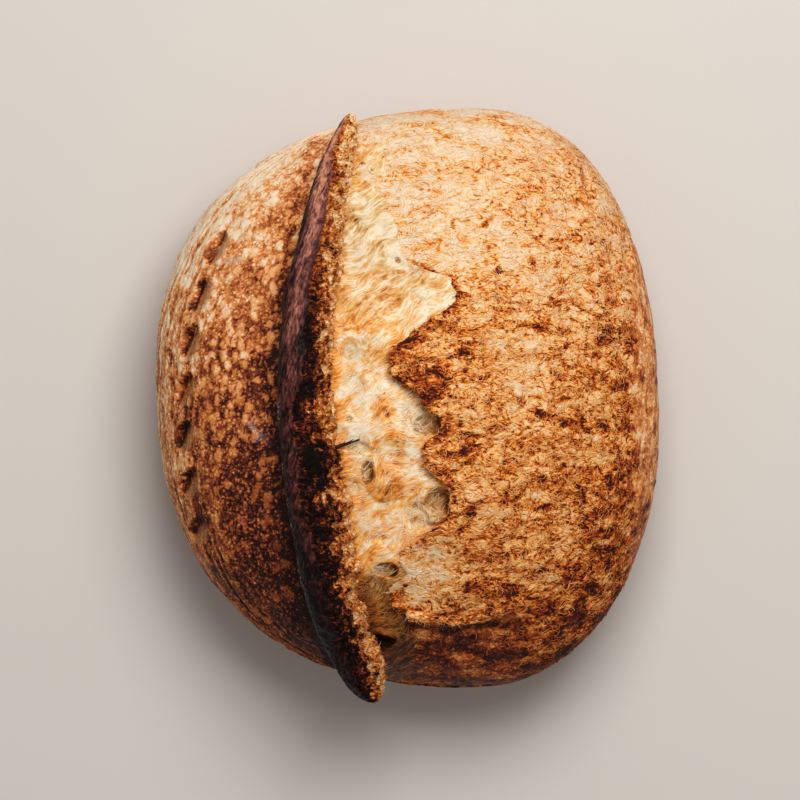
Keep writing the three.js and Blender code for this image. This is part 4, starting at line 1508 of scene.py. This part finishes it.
def ear_material(look):
    """Ear: satin and purple-brown outside, with painted highlights along its slanted wrinkles, nearly
    black at its edges, where the left foot's black is painted shade, matte and fibrous where it tore,
    with grains of flour in the crease."""
    material, tree = blank_material("charred_ear")
    bake, satin, flour = masks_of(tree, "bake", "satin", "flour")
    place = warped_place(tree, 260.0, 0.004)
    threads = threads_of(tree, noise_of(tree, place, 420.0, 2.0, 0.5, (0.55, 1.2, 1.0)), 11.0)
    hairs = threads_of(tree, noise_of(tree, place, 800.0, 2.0, 0.5, (0.5, 1.2, 1.0)), 9.0)
    clumps = noise_of(tree, place, 330.0, 4.0, 0.62)
    slanted = noise_of(tree, warped_place(tree, 200.0, 0.002), 760.0, 3.0, 0.6, (1.0, 0.28, 1.0))
    torn = total(tree, (threads, -0.32), (hairs, -0.22), (clumps, -0.9), plus=0.62)
    # painted highlights: the slanted wrinkles are painted paler on the satin face
    smooth = total(tree, (slanted, -0.75), (clumps, -0.35), plus=0.55)
    tone = maths(tree, "ADD", bake, blended(tree, satin, torn, smooth))
    colour = mixed(tree, satin, ramp_of(tree, tone, torn_tones(look)), ramp_of(tree, tone, satin_tones(look)))
    colour = mixed(tree, flour, colour, FLOUR)
    torn_height = total(tree, (threads, 0.4), (hairs, 0.2), (clumps, 0.8))
    bump = bump_of(tree, blended(tree, satin, torn_height, slanted), 0.8, 0.0007)
    rough = total(tree, (satin, -0.42), plus=0.88)
    finish_material(tree, colour, rough, Normal=bump, Specular_IOR_Level=0.14)
    return material


def fibre_material(name, tones, gloss):
    """Fibres: the tone of each, lightly flecked."""
    material, tree = blank_material(name)
    (bake,) = masks_of(tree, "bake")
    fleck = noise_of(tree, add_node(tree, "ShaderNodeTexCoord").outputs["Object"], 700.0, 2.0, 0.6)
    colour = ramp_of(tree, maths(tree, "ADD", bake, total(tree, (fleck, -0.3), plus=0.15)), tones)
    rough = total(tree, (fleck, 0.3), plus=0.55)
    bump = bump_of(tree, fleck, 0.4, 0.0003)
    finish_material(tree, colour, rough, Normal=bump, Specular_IOR_Level=gloss)
    return material


def floor_material(colour):
    """The floor's one matte colour."""
    material, tree = blank_material("plain_floor")
    finish_material(tree, (*colour, 1.0), 0.8)
    return material


# ---- the user's sizes and colours, and the operators ----

# The stage, in metres: half the floor's width, the soft light's place, aim and colour, the even
# light's colour, and the camera's middle, film width and furthest sight.
FLOOR_REACH = 3.0
KEY_PLACE, KEY_AIM = Vector((0.17, 0.53, 1.10)), Vector((0, 0, 0.05))
KEY_COLOUR = (1.0, 0.96, 0.91)
SKY_COLOUR = (1.0, 0.95, 0.89, 1.0)
CAMERA_MIDDLE = (-0.00303, -0.00069)
SENSOR = 36.0  # millimetres
CAMERA_REACH = 20


def number_field(name, description, default, least=0.0, unit="NONE", precision=3):
    """A number that the user can change."""
    return bpy.props.FloatProperty(
        name=name, description=description, default=default, min=least, unit=unit, precision=precision
    )


def size_field(name, description, millimetres):
    """A small length that the user can change."""
    return number_field(name, description, millimetres * MM, unit="LENGTH", precision=5)


def colour_field(name, description, code):
    """A colour that the user can change."""
    return bpy.props.FloatVectorProperty(
        name=name, description=description, subtype="COLOR", size=3, min=0, max=1, default=linear(code)
    )


class LoafForm(bpy.types.PropertyGroup):
    """Sizes of the torn fibres."""

    ear_fibre: size_field("Ear Fibres", "Length of the torn fibres on the ear", 2.4)
    lip_fibre: size_field("Lip Fibres", "Length of the fibres along the bloom's ragged lip", 2.2)
    bloom_fibre: size_field("Bloom Fibres", "Length of the fibres that lie on the bloom", 3.6)
    web_fibre: size_field("Crumb Webs", "Length of the silky strands on the crumb", 6.0)
    fibre_width: size_field("Fibre Width", "Thickness of a torn fibre at its root", 0.5)


class LoafTones(bpy.types.PropertyGroup):
    """Main colours of the crust, the bloom, the ear and the crumb."""

    crust_golden: colour_field("Crust Golden", "Old crust where it is golden", "df904f")
    crust_brown: colour_field("Crust Brown", "Old crust where it is brown", "6f2d18")
    bloom_golden: colour_field("Bloom Golden", "Bloom where it is golden", "ee933a")
    bloom_toasted: colour_field("Bloom Toasted", "Bloom where it is toasted", "c45c17")
    bloom_dark: colour_field("Bloom Dark", "Bloom where it is darkest", "5c1c07")
    ear_toasted: colour_field("Ear Toasted", "Torn edge of the ear", "be6222")
    ear_satin: colour_field("Ear Satin", "Smooth outer face of the ear", "45201c")
    ear_char: colour_field("Ear Char", "Burnt parts of the ear", "0d0506")
    crumb_cream: colour_field("Crumb Cream", "Open crumb", "f9d5a2")
    crumb_toasted: colour_field("Crumb Toasted", "Toasted parts of the crumb", "dc802b")


class LoafStage(bpy.types.PropertyGroup):
    """Floor, light and camera."""

    floor_colour: colour_field("Floor", "Colour of the plain floor", "dcd9d5")
    key_power: number_field("Key Light", "Power of the soft light from behind", 12.6, unit="POWER")
    key_width: number_field("Key Width", "Width of the soft light", 0.7, 0.05, "LENGTH")
    sky: number_field("Sky", "Strength of the even light from all round", 0.26)
    camera_height: number_field("Camera Height", "Camera above the base", 3.2, 0.5, "LENGTH")
    view_width: number_field("View Width", "View at the loaf's widest line", 0.3233, 0.01, "LENGTH")


class LOAF_OT_crust(bpy.types.Operator):
    """Make the old crust of the left flank"""

    bl_idname = "loaf.make_crust"
    bl_label = "Old Crust"

    def execute(self, context):
        look = context.scene.loaf_tones
        points, masks = crust_surface()
        skin = skin_material("blistered_crust", crust_tones(look), look)
        add_tube("crust_shell", points, skin, "crust", masks)
        return {"FINISHED"}


class LOAF_OT_underside(bpy.types.Operator):
    """Make the floury underside and the low flanks"""

    bl_idname = "loaf.make_underside"
    bl_label = "Underside"

    def execute(self, context):
        look = context.scene.loaf_tones
        points, masks = underside_surface()
        skin = skin_material("floury_crust", crust_tones(look), look)
        add_tube("underside", points, skin, "crust", masks)
        return {"FINISHED"}


class LOAF_OT_bloom(bpy.types.Operator):
    """Make the swollen bloom and the fibres along its ragged lip"""

    bl_idname = "loaf.make_bloom"
    bl_label = "Bloom"

    def execute(self, context):
        look, form = context.scene.loaf_tones, context.scene.loaf_form
        points, masks, lip = bloom_surface()
        skin = skin_material("toasted_bloom", bloom_tones(look), look)
        add_tube("bloom_skin", points, skin, "bloom", masks)
        y = points[:, :1, 1]
        columns = np.arange(points.shape[1])
        near_lip = (np.abs(columns - lip) < 4) * (1 - ease(y, 40, 62)) * ease(y, -100, -92)
        roots, normals, place, random = torn_roots(points, near_lip, 2400, 7)
        count = len(roots)
        ahead = np.array([-1.0, 0, 0]) + 0.35 * normals + 0.45 * random.normal(size=roots.shape)
        sizes = fibre_sizes(form, "lip_fibre", random, count)
        bake = masks["bake"][place] + 0.14 * random.normal(size=count)
        fibres = fibre_material("bloom_fibres", bloom_tones(look), 0.1)
        aside = random.normal(size=roots.shape)
        add_curls("lip_fibres", roots - 0.3 * ahead, ahead, aside, sizes, fibres, "bloom", {"bake": bake})

        woven = masks["weave"] * (columns > lip) * (1 - ease(points[..., 0], 84, 92))
        woven = woven * (1 - masks["smooth"]) * (1 - 0.8 * ease(masks["bake"], 0.6, 0.85))
        for name, tone, spread, seed in BLOOM_FIBRES:
            roots, _, place, random = torn_roots(points, woven, 4800, seed)
            count = len(roots)
            swirl = 1.8 * noise(roots / 17, 141) + 1.4 * noise(roots / 6, 142)
            swirl = swirl + 0.5 * random.normal(size=count)
            out, ahead, aside = lying_on_crust(roots, swirl)
            sizes = fibre_sizes(form, "bloom_fibre", random, count)
            bake = masks["bake"][place] + tone + spread * random.normal(size=count)
            bake = {"bake": np.maximum(bake, 0.16 - 0.12 * ease(roots[:, 1], 0, 60))}
            add_curls(name, roots - 0.1 * out, ahead, aside, sizes, fibres, "bloom", bake, lying=True)
        return {"FINISHED"}


class LOAF_OT_crumb(bpy.types.Operator):
    """Make the torn crumb in the opening, with its silky strands"""

    bl_idname = "loaf.make_crumb"
    bl_label = "Crumb"

    def execute(self, context):
        look, form = context.scene.loaf_tones, context.scene.loaf_form
        points, masks = crumb_surface()
        add_tube("torn_crumb", points, crumb_material(look), "crumb", masks)
        y = points[:, :-HIDDEN_COLUMNS, 1]
        open_part = ease(-y, -100, 60) * (1 - 0.85 * ease(-y, 84, 98))
        roots, _, place, random = torn_roots(points, open_part, 3300, 8)
        count = len(roots)
        at_x, at_y, step = roots[:, 0], roots[:, 1], 0.4
        swirl = np.arctan2(
            crumb_flow(at_x - step, at_y) - crumb_flow(at_x + step, at_y),
            crumb_flow(at_x, at_y + step) - crumb_flow(at_x, at_y - step),
        )
        out, ahead, aside = lying_on_crust(roots, swirl + 0.25 * random.normal(size=count))
        sizes = fibre_sizes(form, "web_fibre", random, count)
        bake = {"bake": np.clip(masks["bake"][place] - 0.16, 0, 1) + 0.05 * random.normal(size=count)}
        webs = fibre_material("silky_strands", silk_tones(look), 0.2)
        shape = {"lying": True, "rings": 7, "smooth": False}
        add_curls("crumb_webs", roots - 0.1 * out, ahead, aside, sizes, webs, "crumb", bake, **shape)
        return {"FINISHED"}


class LOAF_OT_ear(bpy.types.Operator):
    """Make the charred ear, its torn fibres and the burnt strand that stands over the crumb"""

    bl_idname = "loaf.make_ear"
    bl_label = "Ear"

    def execute(self, context):
        look, form = context.scene.loaf_tones, context.scene.loaf_form
        points, masks = ear_surface()
        add_tube("charred_ear", points, ear_material(look), "charred_ear", masks)
        torn = np.clip(1 - masks["satin"] - masks["flour"], 0, 1) * (outward(points)[..., 2] > 0.05)
        torn = torn * (points[..., 0] > arc_x(EAR, points[..., 1]) - 1) * (points[..., 2] < EAR_TOP - 3.2)
        roots, normals, place, random = torn_roots(points, torn, 4600, 9)
        ahead = 0.9 * normals + np.array([0.5, 0, 0]) + 0.9 * random.normal(size=roots.shape)
        sizes = fibre_sizes(form, "ear_fibre", random, len(roots))
        bake = {"bake": masks["bake"][place] - 0.04 + 0.14 * random.normal(size=len(roots))}
        fibres = fibre_material("ear_fibres", torn_tones(look), 0.3)
        aside = random.normal(size=roots.shape)
        add_curls("ear_fibres", roots - 0.3 * normals, ahead, aside, sizes, fibres, "charred_ear", bake)

        x, y, over = BURNT_STRAND[:, :3].T
        roots, ahead = stacked(x, y, crust_height(x, y) + over), BURNT_STRAND[:, 3:6]
        aside = stacked(0 * x, 0.3, 1.0)
        sizes, bake = BURNT_STRAND[:, 6:].T, {"bake": np.full(len(x), BURNT_TONE)}
        shape = {"rings": 9, "corners": 7}
        add_curls("burnt_strand", roots, ahead, aside, sizes, fibres, "charred_ear", bake, **shape)
        return {"FINISHED"}


class LOAF_OT_stage(bpy.types.Operator):
    """Make the floor, the soft light and the camera above the loaf"""

    bl_idname = "loaf.make_stage"
    bl_label = "Stage"

    def execute(self, context):
        scene = context.scene
        look = scene.loaf_stage
        mesh = bpy.data.meshes.new("floor")
        corners = [(x * FLOOR_REACH, y * FLOOR_REACH, 0) for x, y in ((-1, -1), (1, -1), (1, 1), (-1, 1))]
        mesh.from_pydata(corners, [], [(0, 1, 2, 3)])
        mesh.materials.append(floor_material(look.floor_colour))
        floor = bpy.data.objects.new("floor", mesh)
        scene.collection.objects.link(floor)

        light = bpy.data.lights.new("key_light", "AREA")
        light.energy = look.key_power
        light.size = look.key_width
        light.color = KEY_COLOUR
        lamp = bpy.data.objects.new("key_light", light)
        lamp.location = KEY_PLACE
        lamp.rotation_euler = (KEY_AIM - KEY_PLACE).to_track_quat("-Z", "Y").to_euler()
        scene.collection.objects.link(lamp)

        world = bpy.data.worlds.new("studio_sky")
        world.use_nodes = True
        background = world.node_tree.nodes["Background"]
        background.inputs["Color"].default_value = SKY_COLOUR
        background.inputs["Strength"].default_value = look.sky
        scene.world = world
        scene.view_settings.view_transform = "Standard"

        camera = bpy.data.cameras.new("camera")
        camera.sensor_width = SENSOR
        camera.lens = SENSOR * (look.camera_height - WIDEST_AT * MM) / look.view_width
        camera.clip_end = CAMERA_REACH
        eye = bpy.data.objects.new("camera", camera)
        eye.location = (*CAMERA_MIDDLE, look.camera_height)
        scene.collection.objects.link(eye)
        scene.camera = eye
        return {"FINISHED"}


OPERATORS = (LOAF_OT_crust, LOAF_OT_underside, LOAF_OT_bloom, LOAF_OT_crumb, LOAF_OT_ear, LOAF_OT_stage)
GROUPS = {"loaf_form": LoafForm, "loaf_tones": LoafTones, "loaf_stage": LoafStage}


class LOAF_PT_panel(bpy.types.Panel):
    """Lists the pieces, the stage and what can be changed"""

    bl_idname = "LOAF_PT_panel"
    bl_label = "Sourdough Loaf"
    bl_space_type = "VIEW_3D"
    bl_region_type = "UI"
    bl_category = "Loaf"

    def draw(self, context):
        for operator in OPERATORS:
            self.layout.operator(operator.bl_idname)
        for key, group in GROUPS.items():
            for name in group.__annotations__:
                self.layout.prop(getattr(context.scene, key), name)


CLASSES = (*GROUPS.values(), *OPERATORS, LOAF_PT_panel)


def register():
    """Registers every class, and hangs each group of values on the scene."""
    for entry in CLASSES:
        bpy.utils.register_class(entry)
    for key, group in GROUPS.items():
        setattr(bpy.types.Scene, key, bpy.props.PointerProperty(type=group))


def unregister():
    """Takes back what register() did, in the other order."""
    for key in GROUPS:
        delattr(bpy.types.Scene, key)
    for entry in reversed(CLASSES):
        bpy.utils.unregister_class(entry)


def main():
    """Registers the add-on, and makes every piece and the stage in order."""
    register()
    for operator in OPERATORS:
        make = getattr(bpy.ops.loaf, operator.bl_idname.split(".")[1])
        if make() != {"FINISHED"}:
            raise RuntimeError(f"{operator.bl_label} didn't finish")


if __name__ == "__main__":
    main()
